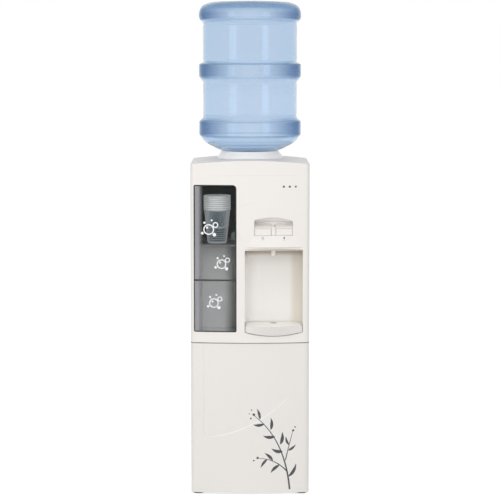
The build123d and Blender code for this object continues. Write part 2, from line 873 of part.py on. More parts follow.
# Lower flap: smoked, tilts out about pins at its lower corners
with BuildPart() as bin_door:
    flap_view = window_view(door_margin, window_bottom, lower_door_high_z)
    add(bowed_slab(flap_view, door_inset, door_inset + door_thick))
    for x in (flap_left, flap_right - lug_width):
        with BuildSketch(mode=Mode.PRIVATE) as lug_view:
            with Locations((x + lug_width / 2, flap_pivot_z - lug_depth / 2 + lug_height / 2)):
                Rectangle(lug_width, lug_height)
        add(bowed_slab(lug_view.sketch, door_middle, door_inset + door_thick + lug_depth))
    for x, y, direction in ((flap_left, flap_left_y, back), (flap_right, flap_right_y, slant)):
        add(trunnion(x, y, flap_pivot_z, direction, trunnion_radius, trunnion_length))
save(bin_door.part, "bin_door")


def bay_liner(left, right, floor_z, top_z, back_y, back_corner, front_inset, wall):
    """Thin liner of a bay, open to the front, from its inside sizes."""
    with BuildPart() as liner:
        with BuildSketch(Plane.XY.offset(floor_z - wall)):
            add(bay_plan(left - wall, right + wall, front_inset, back_y + wall, back_corner + wall))
        extrude(amount=top_z - floor_z + 2 * wall)
        with BuildSketch(Plane.XY.offset(floor_z)):
            add(bay_plan(left, right, -overrun, back_y, back_corner))
        extrude(amount=top_z - floor_z, mode=Mode.SUBTRACT)
    return liner.part


# Dark niche of the cups and the light bay under it
bay_left = window_left + frame_gap
bay_right = window_right - frame_gap
bay_front = frame_tail + seat_gap
shelf_under_z = cup_shelf_z - 2 * cupboard_wall - seat_gap
cup_niche = bay_liner(
    bay_left,
    bay_right,
    cup_shelf_z,
    window_top - frame_gap,
    cupboard_back_y,
    cupboard_corner,
    bay_front,
    cupboard_wall,
)
save(cup_niche, "cup_niche")
storage_liner = bay_liner(
    bay_left,
    bay_right,
    window_bottom + frame_gap,
    shelf_under_z,
    cupboard_back_y,
    cupboard_corner,
    bay_front,
    cupboard_wall,
)
save(storage_liner, "storage_liner")

# Stack of nested cups, upright on the niche floor: each cup shows its lip above the next
stack_low_z = cup_shelf_z + seat_gap
first_lip_z = stack_low_z + cup_height - cup_lip_height
stack_outline = [(cup_base_radius, stack_low_z), (cup_rim_radius - cup_lip, first_lip_z)]
for index in range(cup_count):
    lip_z = first_lip_z + index * cup_pitch
    stack_outline += [(cup_rim_radius, lip_z), (cup_rim_radius, lip_z + cup_lip_height)]
    if index < cup_count - 1:
        stack_outline.append((cup_rim_radius - cup_lip, lip_z + cup_lip_height))
        stack_outline.append((cup_rim_radius - cup_lip, lip_z + cup_pitch))
stack_top_z = first_lip_z + cup_lip_height + (cup_count - 1) * cup_pitch
stack_outline += [
    (cup_rim_radius - cup_lip - cup_wall, stack_top_z),
    (cup_base_radius - cup_wall, stack_top_z - cup_height + cup_floor),
]
with BuildPart() as cup_stack:
    add(flat_turned(stack_outline, cup_sides, cup_x, cup_y))
save(cup_stack.part, "cup_stack")

# Alcove liner with the hole of the spout
with BuildPart() as alcove_liner:
    add(
        bay_liner(
            alcove_left,
            alcove_right,
            alcove_floor_z,
            alcove_top_z,
            alcove_back_y,
            alcove_corner,
            front_wall + seat_gap,
            liner_wall,
        )
    )
    with Locations((button_middle_x, stem_y, alcove_top_z)):
        Cylinder(nozzle_radius + nozzle_gap, overrun, mode=Mode.SUBTRACT)
save(alcove_liner.part, "alcove_liner")


def tray_arc(inset, reach):
    """Front edge of the drip tray, or of what lies inset within it."""
    left = alcove_left + tray_play + inset
    right = alcove_right - tray_play - inset
    return ThreePointArc(
        (left, front_y(left, inset - min(reach, tray_side_reach))),
        (alcove_x, front_y(alcove_x, inset - reach)),
        (right, front_y(right, inset - min(reach, tray_side_reach))),
    )


def tray_plan(inset):
    """Plan of the drip tray, or of what lies inset within it."""
    with BuildSketch() as plan:
        with BuildLine():
            front = tray_arc(inset, tray_reach)
            back_y = alcove_back_y - tray_play - inset
            Polyline(front @ 1, ((front @ 1).X, back_y), ((front @ 0).X, back_y), front @ 0)
        make_face()
        fillet(plan.vertices().group_by(Axis.Y)[-1], alcove_corner - tray_play - inset)
    return plan.sketch


def apron_section(z, reach):
    """Level section of the tray's apron."""
    with BuildSketch(Plane.XY.offset(z)) as section:
        with BuildLine():
            front = tray_arc(0, reach)
            back = bow_arc((front @ 0).X, (front @ 1).X, front_wall)
            Line(front @ 0, back @ 0)
            Line(front @ 1, back @ 1)
        make_face()
    return section.sketch


# Drip tray: a bowl with a ledge for its plate and an apron that fills the sagging opening
plate_low_z = tray_top_z - plate_drop - plate_thick
with BuildPart() as drip_tray:
    tray_left = alcove_left + tray_play
    tray_right = alcove_right - tray_play
    loft([apron_section(tray_top_z, tray_reach), apron_section(alcove_middle_z, apron_reach)], ruled=True)
    sag = alcove_middle_z - alcove_side_z
    with BuildSketch(Plane.XZ):
        add(bay_view(tray_left, tray_right, tray_apron_z, tray_apron_z + sag, tray_top_z))
    extrude(amount=cabinet_depth, mode=Mode.INTERSECT)
    with BuildSketch(Plane.XY.offset(alcove_floor_z + seat_gap)):
        tray_back_y = alcove_back_y - tray_play
        add(bay_plan(tray_left, tray_right, front_wall / 2, tray_back_y, alcove_corner - tray_play))
    extrude(amount=tray_top_z - alcove_floor_z - seat_gap)
    with BuildSketch(Plane.XY.offset(plate_low_z - seat_gap)):
        add(tray_plan(tray_wall))
    extrude(amount=overrun, mode=Mode.SUBTRACT)
    with BuildSketch(Plane.XY.offset(alcove_floor_z + seat_gap + tray_floor)):
        bowl_corner = alcove_corner - tray_play - tray_wall - tray_ledge
        bowl_back_y = alcove_back_y - tray_play - tray_wall - tray_ledge
        bowl_left = tray_left + tray_wall + tray_ledge
        bowl_right = tray_right - tray_wall - tray_ledge
        add(bay_plan(bowl_left, bowl_right, front_wall + tray_wall, bowl_back_y, bowl_corner))
    extrude(amount=overrun, mode=Mode.SUBTRACT)
save(drip_tray.part, "drip_tray")

# Drip plate on the tray's ledge
with BuildPart() as drip_plate:
    with BuildSketch(Plane.XY.offset(plate_low_z)):
        add(tray_plan(tray_wall + plate_gap))
        with Locations((alcove_x, hole_y)):
            Ellipse(hole_width / 2, hole_depth / 2, mode=Mode.SUBTRACT)
    extrude(amount=plate_thick)
save(drip_plate.part, "drip_plate")


def side_block(profile, left, right, inset):
    """Solid of a side-view outline between left and right, behind an inset from the bowed front."""
    with BuildPart() as block:
        with BuildSketch(Plane.YZ.offset(left)):
            with BuildLine():
                Polyline(*profile, close=True)
            make_face()
        extrude(amount=right - left)
        with BuildSketch(Plane.XY):
            add(front_band(inset, cabinet_depth))
        extrude(amount=crown_z, mode=Mode.INTERSECT)
    return block.part


# Push flaps: moulded caps on pins, with a rib over the valve stem
hot_x_middle = button_middle_x - tap_offset
feed_x = hot_x_middle - feed_beside_hot
cold_x_middle = button_middle_x + tap_offset
for label, x in (("hot_button", hot_x_middle), ("cold_button", cold_x_middle)):
    left = x - button_width / 2
    right = x + button_width / 2
    face_y = front_y(0) - overrun
    roof_z = button_back_z - button_wall
    hollow_profile = (
        (face_y, button_bottom_z - overrun),
        (face_y, button_crease_z - button_wall),
        (front_y(x), button_crease_z - button_wall),
        (button_back_y, roof_z),
        (button_back_y + overrun, roof_z),
        (button_back_y + overrun, button_bottom_z - overrun),
    )
    with BuildPart() as flap_hollow:
        add(side_block(hollow_profile, left + button_wall, right - button_wall, button_wall - button_proud))
        with Locations((x, stem_y, rib_bottom_z)):
            Box(
                rib_width,
                rib_length,
                button_back_z - rib_bottom_z,
                align=(Align.CENTER, Align.CENTER, Align.MIN),
                mode=Mode.SUBTRACT,
            )
    with BuildPart() as push_flap:
        crease_y = front_y(x, -button_proud)
        outside = (
            (face_y, button_bottom_z),
            (face_y, button_crease_z),
            (crease_y, button_crease_z),
            (button_back_y, button_back_z),
            (button_back_y, cheek_back_z),
            (crease_y, button_bottom_z),
        )
        add(side_block(outside, left, right, -button_proud))
        add(flap_hollow.part, mode=Mode.SUBTRACT)
        for side, direction in ((left, -1), (right, 1)):
            root_x = side - direction * button_wall / 2
            length = button_wall / 2 + pivot_length
            add(trunnion(root_x, pivot_y, pivot_z, (direction, 0, 0), pivot_radius, length))
        if label == "hot_button":
            hole_x = right - 2 * button_wall
            hole = trunnion(hole_x, bolt_y, bolt_z, (1, 0, 0), bolt_radius + bolt_gap, 3 * button_wall)
            add(hole, mode=Mode.SUBTRACT)
    save(push_flap.part, label)

# Child lock: a tab in the bridge that slides a bolt into the hot flap
with BuildPart() as child_lock:
    tab_low_z = bolt_z - bolt_radius
    with BuildSketch(Plane.XY.offset(tab_low_z)):
        with Locations((tab_x, bolt_y)):
            Rectangle(tab_width, tab_depth)
    bridge_slope = (button_back_z - button_crease_z) / (button_back_y - front_y(button_middle_x))
    bridge_z = button_crease_z - bridge_drop + bridge_slope * (bolt_y - front_y(button_middle_x))
    extrude(amount=bridge_z + tab_rise - tab_low_z)
    bolt_tip_x = bridge_left + bolt_tip_inset
    add(trunnion(tab_x, bolt_y, bolt_z, (-1, 0, 0), bolt_radius, tab_x - bolt_tip_x))
save(child_lock.part, "child_lock")

# Valve stems, their return springs and the tap bodies
stem_head_z = rib_bottom_z - seat_gap
for label, x in (("hot", hot_x_middle), ("cold", cold_x_middle)):
    stem_outline = (
        (0, stem_bottom_z),
        (stem_radius, stem_bottom_z),
        (stem_radius, stem_head_z - stem_head),
        (stem_head_radius, stem_head_z - stem_head),
        (stem_head_radius, stem_head_z),
        (0, stem_head_z),
    )
    save(turned(stem_outline, x, stem_y), f"{label}_stem")
    spring_low_z = pocket_floor_z + seat_gap
    spring_high_z = stem_head_z - stem_head - seat_gap
    spring_outline = (
        (spring_radius - spring_wire, spring_low_z),
        (spring_radius, spring_low_z),
        (spring_radius, spring_high_z),
        (spring_radius - spring_wire, spring_high_z),
    )
    save(turned(spring_outline, x, stem_y), f"{label}_spring")
    tap_top_z = pocket_floor_z - pocket_wall - seat_gap
    with BuildPart() as tap_body:
        with BuildSketch(Plane.XY.offset(tap_bottom_z)):
            with Locations((x, stem_y)):
                RectangleRounded(2 * tap_radius, 2 * tap_radius, tap_corner)
        extrude(amount=tap_top_z - tap_bottom_z)
        bore_z = tap_bottom_z + tap_floor
        bore = trunnion(x, stem_y, bore_z, (0, 0, 1), stem_radius + stem_gap, tap_top_z - bore_z)
        add(bore, mode=Mode.SUBTRACT)
    save(tap_body.part, f"{label}_tap")

# Spout: a cross pipe between both taps with one nozzle down through the alcove's ceiling
with BuildPart() as spout:
    pipe_half = tap_offset - tap_radius - seat_gap
    add(trunnion(button_middle_x - pipe_half, stem_y, spout_z, (1, 0, 0), spout_radius, 2 * pipe_half))
    nozzle_high_z = spout_z + nozzle_radius
    nozzle_length = nozzle_high_z - nozzle_bottom_z
    add(trunnion(button_middle_x, stem_y, nozzle_high_z, (0, 0, -1), nozzle_radius, nozzle_length))
    bore_length = spout_z - nozzle_bottom_z
    add(
        trunnion(button_middle_x, stem_y, spout_z, (0, 0, -1), nozzle_bore, bore_length),
        mode=Mode.SUBTRACT,
    )
save(spout.part, "spout")

# Indicator lenses
for label, x in zip(("power_lens", "hot_lens", "cold_lens"), lens_xs):
    lens_back_y = front_y(x, front_wall + lens_tail)
    lens_length = lens_back_y - front_y(x) + lens_proud
    save(trunnion(x, lens_back_y, lens_z, (0, -1, 0), lens_radius, lens_length), label)

# Bottle, upside down: shares of the ring radius and of the height over the mouth
outside_shares = (
    (0.647, 0.157),
    (0.853, 0.180),
    (1.0, 0.240),
    (1.0, 0.315),
    (0.918, 0.337),
    (0.918, 0.543),
    (1.0, 0.572),
    (1.0, 0.645),
    (0.918, 0.645),
    (0.918, 0.888),
    (1.0, 0.901),
    (1.0, 0.935),
)
inside_shares = ((0.903, 0.218), (0.903, 0.95), (0.78, 0.984))
neck_top_z = bottle_mouth_z + neck_height
bottle_top_z = bottle_mouth_z + bottle_height
bottle_outline = [
    (neck_radius - bottle_wall, bottle_mouth_z),
    (neck_radius, bottle_mouth_z),
    (neck_radius, neck_top_z),
]
bottle_outline += [(r * ring_radius, bottle_mouth_z + z * bottle_height) for r, z in outside_shares]
bottle_outline += [(rim_flat_radius, bottle_top_z), (0, bottle_top_z), (0, bottle_top_z - bottle_wall)]
bottle_outline += [(r * ring_radius, bottle_mouth_z + z * bottle_height) for r, z in reversed(inside_shares)]
bottle_outline.append((neck_radius - bottle_wall, neck_top_z + neck_flare))
save(turned(bottle_outline, 0, bottle_y), "bottle")

# Neck guard: a ring on the cold tank's rim, close round the bottle's neck
guard_seat_z = cold_top_z + seat_gap
guard_outline = (
    (neck_radius + guard_gap, guard_seat_z),
    (cold_radius + guard_wall, guard_seat_z),
    (cold_radius + guard_wall, guard_seat_z + guard_wall),
    (neck_radius + guard_gap, guard_seat_z + guard_wall),
)
save(turned(guard_outline, 0, bottle_y), "neck_guard")

# Upper shelf across the cabinet, with its edges folded down and holes for the pipes
shelf_back_y = rear_y - 2 * sheet - 2 * seat_gap


def cross_shelf(top_z, holes):
    """Sheet shelf between the side panels, from points and radii of its holes."""
    width = cabinet_width - 2 * sheet - 2 * seat_gap
    with BuildPart() as shelf:
        with BuildSketch(Plane.XY.offset(top_z)):
            with Locations((0, (shelf_front_y + shelf_back_y) / 2)):
                Rectangle(width, shelf_back_y - shelf_front_y)
        extrude(amount=-shelf_lip)
        offset(amount=-sheet, openings=shelf.faces().sort_by(Axis.Z)[0])
        for x, y, radius in holes:
            with Locations((x, y, top_z)):
                Cylinder(radius, shelf_lip, mode=Mode.SUBTRACT)
    return shelf.part


hose_hole = hose_radius + hole_gap
suction_hole = suction_radius + hole_gap
upper_holes = (
    (feed_x, feed_y, hose_hole),
    (hot_x_middle, hot_hose_y, hose_hole),
    (suction_x, suction_y, suction_hole),
)
save(cross_shelf(shelf_z, upper_holes), "tank_shelf")
lower_holes = ((hot_x_middle, hot_y, hose_hole), (suction_x, suction_y, suction_hole))
save(cross_shelf(hot_shelf_z, lower_holes), "hot_shelf")

# Cold tank: an open pot with its water outlet at the right
with BuildPart() as cold_tank:
    cold_outline = (
        (0, cold_bottom_z),
        (cold_radius, cold_bottom_z),
        (cold_radius, cold_top_z),
        (cold_radius - tank_wall, cold_top_z),
        (cold_radius - tank_wall, cold_bottom_z + tank_wall),
        (0, cold_bottom_z + tank_wall),
    )
    add(turned(cold_outline, 0, bottle_y))
    outlet = trunnion(0, cold_hose_y, inlet_z, (1, 0, 0), inlet_radius, cold_radius + overrun)
    add(outlet, mode=Mode.SUBTRACT)
    with Locations((feed_x, feed_y, cold_bottom_z)):
        Cylinder(inlet_radius + seat_gap / 2, overrun, mode=Mode.SUBTRACT)
save(cold_tank.part, "cold_tank")

# Baffle: a disc with a tube, which keeps the cold water apart
baffle_radius = cold_radius - tank_wall - baffle_gap
with BuildPart() as baffle:
    baffle_outline = (
        (baffle_tube_radius - baffle_wall, cold_bottom_z + tank_wall + seat_gap),
        (baffle_tube_radius, cold_bottom_z + tank_wall + seat_gap),
        (baffle_tube_radius, baffle_z),
        (baffle_radius, baffle_z),
        (baffle_radius, baffle_z + baffle_wall),
        (baffle_tube_radius - baffle_wall, baffle_z + baffle_wall),
    )
    add(turned(baffle_outline, 0, bottle_y))
save(baffle.part, "baffle")

# Foam jacket over the cold tank and its evaporator sleeve
coil_inner = cold_radius + seat_gap
coil_outer = coil_inner + coil_thick
with BuildPart() as cold_jacket:
    pot = cold_radius + seat_gap
    groove = coil_outer + seat_gap
    jacket_low_z = shelf_z + seat_gap
    jacket_outline = (
        (0, jacket_low_z),
        (cold_radius + foam, jacket_low_z),
        (cold_radius + foam, cold_top_z - guard_wall),
        (pot, cold_top_z - guard_wall),
        (pot, coil_bottom_z + coil_height + seat_gap),
        (groove, coil_bottom_z + coil_height + seat_gap),
        (groove, coil_bottom_z - seat_gap),
        (pot, coil_bottom_z - seat_gap),
        (pot, cold_bottom_z - seat_gap),
        (0, cold_bottom_z - seat_gap),
    )
    add(turned(jacket_outline, 0, bottle_y))
    with Locations((feed_x, feed_y, jacket_low_z)):
        Cylinder(hose_hole, 2 * overrun, mode=Mode.SUBTRACT)
    hose_cut = trunnion(cold_radius / 2, cold_hose_y, inlet_z, (1, 0, 0), hose_hole, cold_radius)
    add(hose_cut, mode=Mode.SUBTRACT)
    suction_cut = trunnion(-cold_radius / 2, suction_y, suction_top_z, (-1, 0, 0), suction_hole, cold_radius)
    add(suction_cut, mode=Mode.SUBTRACT)
save(cold_jacket.part, "cold_jacket")

# Hot tank with a hole above and below, its heater from below and its jacket on the lower shelf
heater_y = hot_y + heater_y_shift
with BuildPart() as hot_tank:
    hot_outline = (
        (inlet_radius, hot_bottom_z),
        (hot_radius, hot_bottom_z),
        (hot_radius, hot_top_z),
        (inlet_radius, hot_top_z),
        (inlet_radius, hot_top_z - tank_wall),
        (hot_radius - tank_wall, hot_top_z - tank_wall),
        (hot_radius - tank_wall, hot_bottom_z + tank_wall),
        (inlet_radius, hot_bottom_z + tank_wall),
    )
    add(turned(hot_outline, hot_x_middle, hot_y))
    with Locations((feed_x, feed_y, hot_top_z)):
        Cylinder(inlet_radius + seat_gap / 2, overrun, mode=Mode.SUBTRACT)
    with Locations((hot_x_middle, heater_y, hot_bottom_z)):
        Cylinder(heater_radius + seat_gap, overrun, mode=Mode.SUBTRACT)
save(hot_tank.part, "hot_tank")

flange_low_z = hot_bottom_z - seat_gap - heater_flange_height
heater_outline = (
    (0, flange_low_z),
    (heater_flange_radius, flange_low_z),
    (heater_flange_radius, hot_bottom_z - seat_gap),
    (heater_radius, hot_bottom_z - seat_gap),
    (heater_radius, hot_bottom_z + heater_height),
    (0, hot_bottom_z + heater_height),
)
save(turned(heater_outline, hot_x_middle, heater_y), "heater")

with BuildPart() as hot_jacket:
    low_z = hot_shelf_z + seat_gap
    high_z = hot_top_z + foam + seat_gap
    pot = hot_radius + seat_gap
    jacket_outline = (
        (hose_hole, low_z),
        (hot_radius + foam, low_z),
        (hot_radius + foam, high_z),
        (hose_hole, high_z),
        (hose_hole, hot_top_z + seat_gap),
        (pot, hot_top_z + seat_gap),
        (pot, hot_bottom_z - seat_gap),
        (hose_hole, hot_bottom_z - seat_gap),
    )
    add(turned(jacket_outline, hot_x_middle, hot_y))
    with Locations((feed_x, feed_y, high_z)):
        Cylinder(hose_hole, overrun, mode=Mode.SUBTRACT)
    with Locations((hot_x_middle, heater_y, flange_low_z - seat_gap)):
        Cylinder(
            heater_flange_radius + seat_gap,
            overrun,
            align=(Align.CENTER, Align.CENTER, Align.MIN),
            mode=Mode.SUBTRACT,
        )
save(hot_jacket.part, "hot_jacket")

# Water pipes: feed pipe between the tanks, outlet hoses to the taps and the drain to the rear
feed_points = ((feed_x, feed_y, hot_top_z - hole_gap), (feed_x, feed_y, cold_bottom_z + tank_wall))
save(pipe(feed_points, inlet_radius), "feed_pipe")
tap_back_y = stem_y + tap_radius + seat_gap
hot_points = (
    (hot_x_middle, hot_y, hot_top_z + seat_gap),
    (hot_x_middle, hot_y, hot_hose_low_z),
    (hot_x_middle, hot_hose_y, hot_hose_low_z),
    (hot_x_middle, hot_hose_y, inlet_z),
    (hot_x_middle, tap_back_y, inlet_z),
)
save(pipe(hot_points, hose_radius), "hot_hose")
cold_points = (
    (cold_radius + seat_gap, cold_hose_y, inlet_z),
    (cold_x_middle, cold_hose_y, inlet_z),
    (cold_x_middle, tap_back_y, inlet_z),
)
save(pipe(cold_points, hose_radius), "cold_hose")
drain_end_y = rear_y + drain_tail
drain_points = (
    (hot_x_middle, hot_y, hot_bottom_z - seat_gap),
    (hot_x_middle, hot_y, drain_z),
    (hot_x_middle, drain_end_y, drain_z),
)
save(pipe(drain_points, hose_radius), "drain_pipe")
with BuildPart() as drain_plug:
    plug_end_y = drain_end_y + seat_gap + plug_cap
    cavity = plug_length - plug_cap
    add(trunnion(hot_x_middle, plug_end_y, drain_z, (0, -1, 0), plug_radius, plug_length))
    add(
        trunnion(hot_x_middle, plug_end_y - plug_cap, drain_z, (0, -1, 0), hose_radius + seat_gap, cavity),
        mode=Mode.SUBTRACT,
    )
save(drain_plug.part, "drain_plug")

# Compressor on its foot plate, with its terminal box, on four rubber pads
pan_top_z = foot_height + sheet
dome_side = compressor_radius - compressor_dome / 2
with BuildPart() as compressor:
    top_z = compressor_bottom_z + compressor_height
    compressor_outline = (
        (0, compressor_bottom_z),
        (compressor_radius, compressor_bottom_z),
        (compressor_radius, top_z - compressor_dome),
        (dome_side, top_z),
        (0, top_z),
    )
    add(turned(compressor_outline, compressor_x, compressor_y))
    with Locations((compressor_x, compressor_y, compressor_bottom_z)):
        Box(
            compressor_foot_width,
            compressor_foot_depth,
            compressor_foot_thick,
            align=(Align.CENTER, Align.CENTER, Align.MIN),
        )
    with Locations((compressor_x + compressor_radius, compressor_y, terminal_z)):
        Box(terminal_depth, terminal_width, terminal_height)
save(compressor.part, "compressor")

with BuildPart() as pads:
    compressor_pad_x = compressor_foot_width / 2 - rubber_half
    compressor_pad_y = compressor_foot_depth / 2 - rubber_half
    with BuildSketch(Plane.XY.offset(pan_top_z + seat_gap)):
        with Locations((compressor_x, compressor_y)):
            with GridLocations(2 * compressor_pad_x, 2 * compressor_pad_y, 2, 2):
                Rectangle(2 * rubber_half, 2 * rubber_half)
    extrude(amount=compressor_bottom_z - pan_top_z - 2 * seat_gap)
save(pads.part, "compressor_pads")

# Evaporator sleeve round the cold tank, with the suction line down to the compressor
evaporator_outline = (
    (coil_inner, coil_bottom_z),
    (coil_outer, coil_bottom_z),
    (coil_outer, coil_bottom_z + coil_height),
    (coil_inner, coil_bottom_z + coil_height),
)
suction_offset = compressor_y - suction_y - suction_radius
suction_start_x = compressor_x - sqrt(compressor_radius**2 - suction_offset**2) - seat_gap
suction_end_x = -sqrt(coil_inner**2 - (suction_y - bottle_y - suction_radius) ** 2) - coil_thick / 2
suction_points = (
    (suction_start_x, suction_y, suction_z),
    (suction_x, suction_y, suction_z),
    (suction_x, suction_y, suction_top_z),
    (suction_end_x, suction_y, suction_top_z),
)
with BuildPart() as evaporator:
    add(turned(evaporator_outline, 0, bottle_y))
    add(pipe(suction_points, suction_radius))
save(evaporator.part, "evaporator")

# Condenser: a tube in straight passes, as far behind the rear edge as the tray stands before the front
rear_reach_y = -drip_tray.part.bounding_box().min.Y
coil_y = rear_reach_y - wire_width - seat_gap / 2 - coil_radius
coil_offset = coil_inlet_y - compressor_y - coil_radius
coil_start_x = compressor_x - sqrt(compressor_radius**2 - coil_offset**2) - seat_gap
coil_points = [
    (coil_start_x, coil_inlet_y, coil_inlet_z),
    (coil_drop_x, coil_inlet_y, coil_inlet_z),
    (coil_drop_x, coil_y, coil_inlet_z),
    (coil_drop_x, coil_y, coil_top_z),
]
for index in range(coil_passes):
    pass_z = coil_top_z - index * coil_pass_pitch
    ends = (coil_right, coil_left) if index % 2 == 0 else (coil_left, coil_right)
    coil_points.append((ends[0], coil_y, pass_z))
    if index < coil_passes - 1:
        coil_points.append((ends[0], coil_y, pass_z - coil_pass_pitch))
drier_top_z = drier_bottom_z + drier_height
coil_points += [
    (coil_right, coil_y, drier_top_z + 2 * overrun),
    (coil_right, drier_y, drier_top_z + 2 * overrun),
    (coil_right, drier_y, drier_top_z + seat_gap),
]
with BuildPart() as condenser:
    with BuildLine() as route:
        FilletPolyline(*coil_points, radius=hose_bend)
    with BuildSketch(Plane(origin=route.line @ 0, z_dir=route.line % 0)):
        RegularPolygon(coil_radius, coil_sides, rotation=180 / coil_sides)
    sweep(path=route.line)
save(condenser.part, "condenser")

# Condenser wires on both sides of the tube, and the brackets that carry them on the rear panel
panel_back_y = rear_y - sheet - seat_gap
wire_low_z = coil_top_z - (coil_passes - 1) * coil_pass_pitch - overrun / 2
with BuildPart() as condenser_wires:
    wire_length = coil_top_z + overrun / 2 - wire_low_z
    wire_pitch = (coil_right - coil_left - 4 * hose_bend) / (wire_count - 1)
    for side in (-1, 1):
        wire_y = coil_y + side * (coil_radius + seat_gap / 2 + wire_width / 2)
        with BuildSketch(Plane.XY.offset(wire_low_z)):
            with Locations((0, wire_y)):
                with GridLocations(wire_pitch, wire_width, wire_count, 1):
                    Rectangle(wire_width, wire_width)
        extrude(amount=wire_length)
save(condenser_wires.part, "condenser_wires")

with BuildPart() as brackets:
    bracket_front_y = panel_back_y + seat_gap
    bracket_depth = coil_y - coil_radius - seat_gap - wire_width - bracket_front_y
    for z in (wire_low_z + bracket_width, coil_top_z - bracket_width):
        for side in (-1, 1):
            with Locations((side * wire_pitch * (wire_count - 1) / 2, bracket_front_y, z)):
                Box(
                    bracket_width,
                    bracket_depth,
                    bracket_thick,
                    align=(Align.CENTER, Align.MIN, Align.CENTER),
                )
                Box(
                    bracket_width,
                    bracket_thick,
                    bracket_width,
                    align=(Align.CENTER, Align.MIN, Align.CENTER),
                )
save(brackets.part, "condenser_brackets")

# Filter drier under the condenser's outlet
with BuildPart() as filter_drier:
    with Locations((coil_right, drier_y, drier_bottom_z)):
        Cylinder(drier_radius, drier_height, align=(Align.CENTER, Align.CENTER, Align.MIN))
save(filter_drier.part, "filter_drier")

# Rear panel with louvres and the holes of its fittings
switch_xs = (switch_hot_x, switch_cold_x)
with BuildPart() as rear_panel:
    with BuildSketch(Plane.XZ.offset(-panel_back_y)):
        with Locations((0, (rear_open_z + side_top_z) / 2)):
            Rectangle(cabinet_width - 2 * sheet - 2 * seat_gap, side_top_z - rear_open_z)
        with Locations((louvre_middle_x, louvre_z)):
            with GridLocations(louvre_column_pitch, louvre_pitch, 2, louvre_rows):
                Rectangle(louvre_width, louvre_height, mode=Mode.SUBTRACT)
        with Locations(*[(x, switch_z) for x in switch_xs]):
            Rectangle(switch_width + seat_gap, switch_height + seat_gap, mode=Mode.SUBTRACT)
        with Locations((gland_x, gland_z)):
            gland_hole = 2 * gland_radius + seat_gap
            Rectangle(gland_hole, gland_hole - gland_flange_thick, mode=Mode.SUBTRACT)
        with Locations((hot_x_middle, drain_z)):
            Circle(hose_radius + seat_gap, mode=Mode.SUBTRACT)
    extrude(amount=sheet)
save(rear_panel.part, "rear_panel")

# Housings of the two rocker switches, clipped into the rear panel
flange_y = panel_back_y + seat_gap
switch_front_y = flange_y - switch_body_depth
rocker_y = flange_y + switch_flange_thick - rocker_root / 2
shaft_half = switch_height / 2 - switch_wall
with BuildPart() as switch_housings:
    for x in switch_xs:
        with BuildSketch(Plane.XZ.offset(-switch_front_y)):
            with Locations((x, switch_z)):
                Rectangle(switch_width, switch_height)
        extrude(amount=-switch_body_depth)
        with BuildSketch(Plane.XZ.offset(-flange_y)):
            with Locations((x, switch_z)):
                Rectangle(switch_width + 2 * switch_flange, switch_height + 2 * switch_flange)
        extrude(amount=-switch_flange_thick)
        with BuildSketch(Plane.XZ.offset(-switch_front_y - switch_wall)):
            with Locations((x, switch_z)):
                Rectangle(switch_width - 2 * switch_wall, 2 * shaft_half)
        extrude(amount=-switch_body_depth - switch_flange_thick, mode=Mode.SUBTRACT)
        socket_x = x - switch_width / 2 + switch_wall - rocker_pin
        socket = switch_width - 2 * switch_wall + 2 * rocker_pin
        hole = trunnion(socket_x, rocker_y, switch_z, (1, 0, 0), rocker_pin + turn_gap, socket)
        add(hole, mode=Mode.SUBTRACT)
save(switch_housings.part, "switch_housings")

# Rockers, each lying with its upper end out and turning about its pins
tilt_sine = sin(radians(rocker_tilt))
tilt_cosine = cos(radians(rocker_tilt))
rocker_half = shaft_half - rocker_gap - rocker_rise * tilt_sine
rocker_width = switch_width - 2 * switch_wall - 2 * rocker_gap
for label, x in (("hot_switch", switch_hot_x), ("cold_switch", switch_cold_x)):
    with BuildPart() as rocker:
        corner = (x - rocker_width / 2, rocker_y, switch_z)
        rocker_plane = Plane(origin=corner, x_dir=(0, tilt_cosine, -tilt_sine), z_dir=(1, 0, 0))
        with BuildSketch(rocker_plane):
            with BuildLine():
                Polyline(
                    (-rocker_root, -rocker_half / 2),
                    (-rocker_root, rocker_half / 2),
                    (0, rocker_half),
                    (rocker_rise, rocker_half),
                    (rocker_rise / 2, 0),
                    (rocker_rise, -rocker_half),
                    (0, -rocker_half),
                    close=True,
                )
            make_face()
        extrude(amount=rocker_width)
        pin_length = rocker_width + 2 * rocker_gap + 2 * (rocker_pin - seat_gap)
        add(trunnion(x - pin_length / 2, rocker_y, switch_z, (1, 0, 0), rocker_pin, pin_length))
    save(rocker.part, label)

# Cord gland in the rear panel
with BuildPart() as cord_gland:
    with BuildSketch(Plane.XZ.offset(-flange_y)):
        with Locations((gland_x, gland_z)):
            RectangleRounded(2 * gland_flange_radius, 2 * gland_radius, tap_corner)
    extrude(amount=-gland_flange_thick)
    with BuildSketch(Plane.XZ.offset(-flange_y)):
        with Locations((gland_x, gland_z)):
            Rectangle(2 * gland_radius, 2 * gland_radius - gland_flange_thick)
    extrude(amount=seat_gap + sheet + gland_tail)
    with BuildSketch(Plane.XZ.offset(-flange_y - gland_flange_thick)):
        with Locations((gland_x, gland_z)):
            Circle(gland_bore)
    extrude(amount=cabinet_depth, mode=Mode.SUBTRACT)
save(cord_gland.part, "cord_gland")
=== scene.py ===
import math

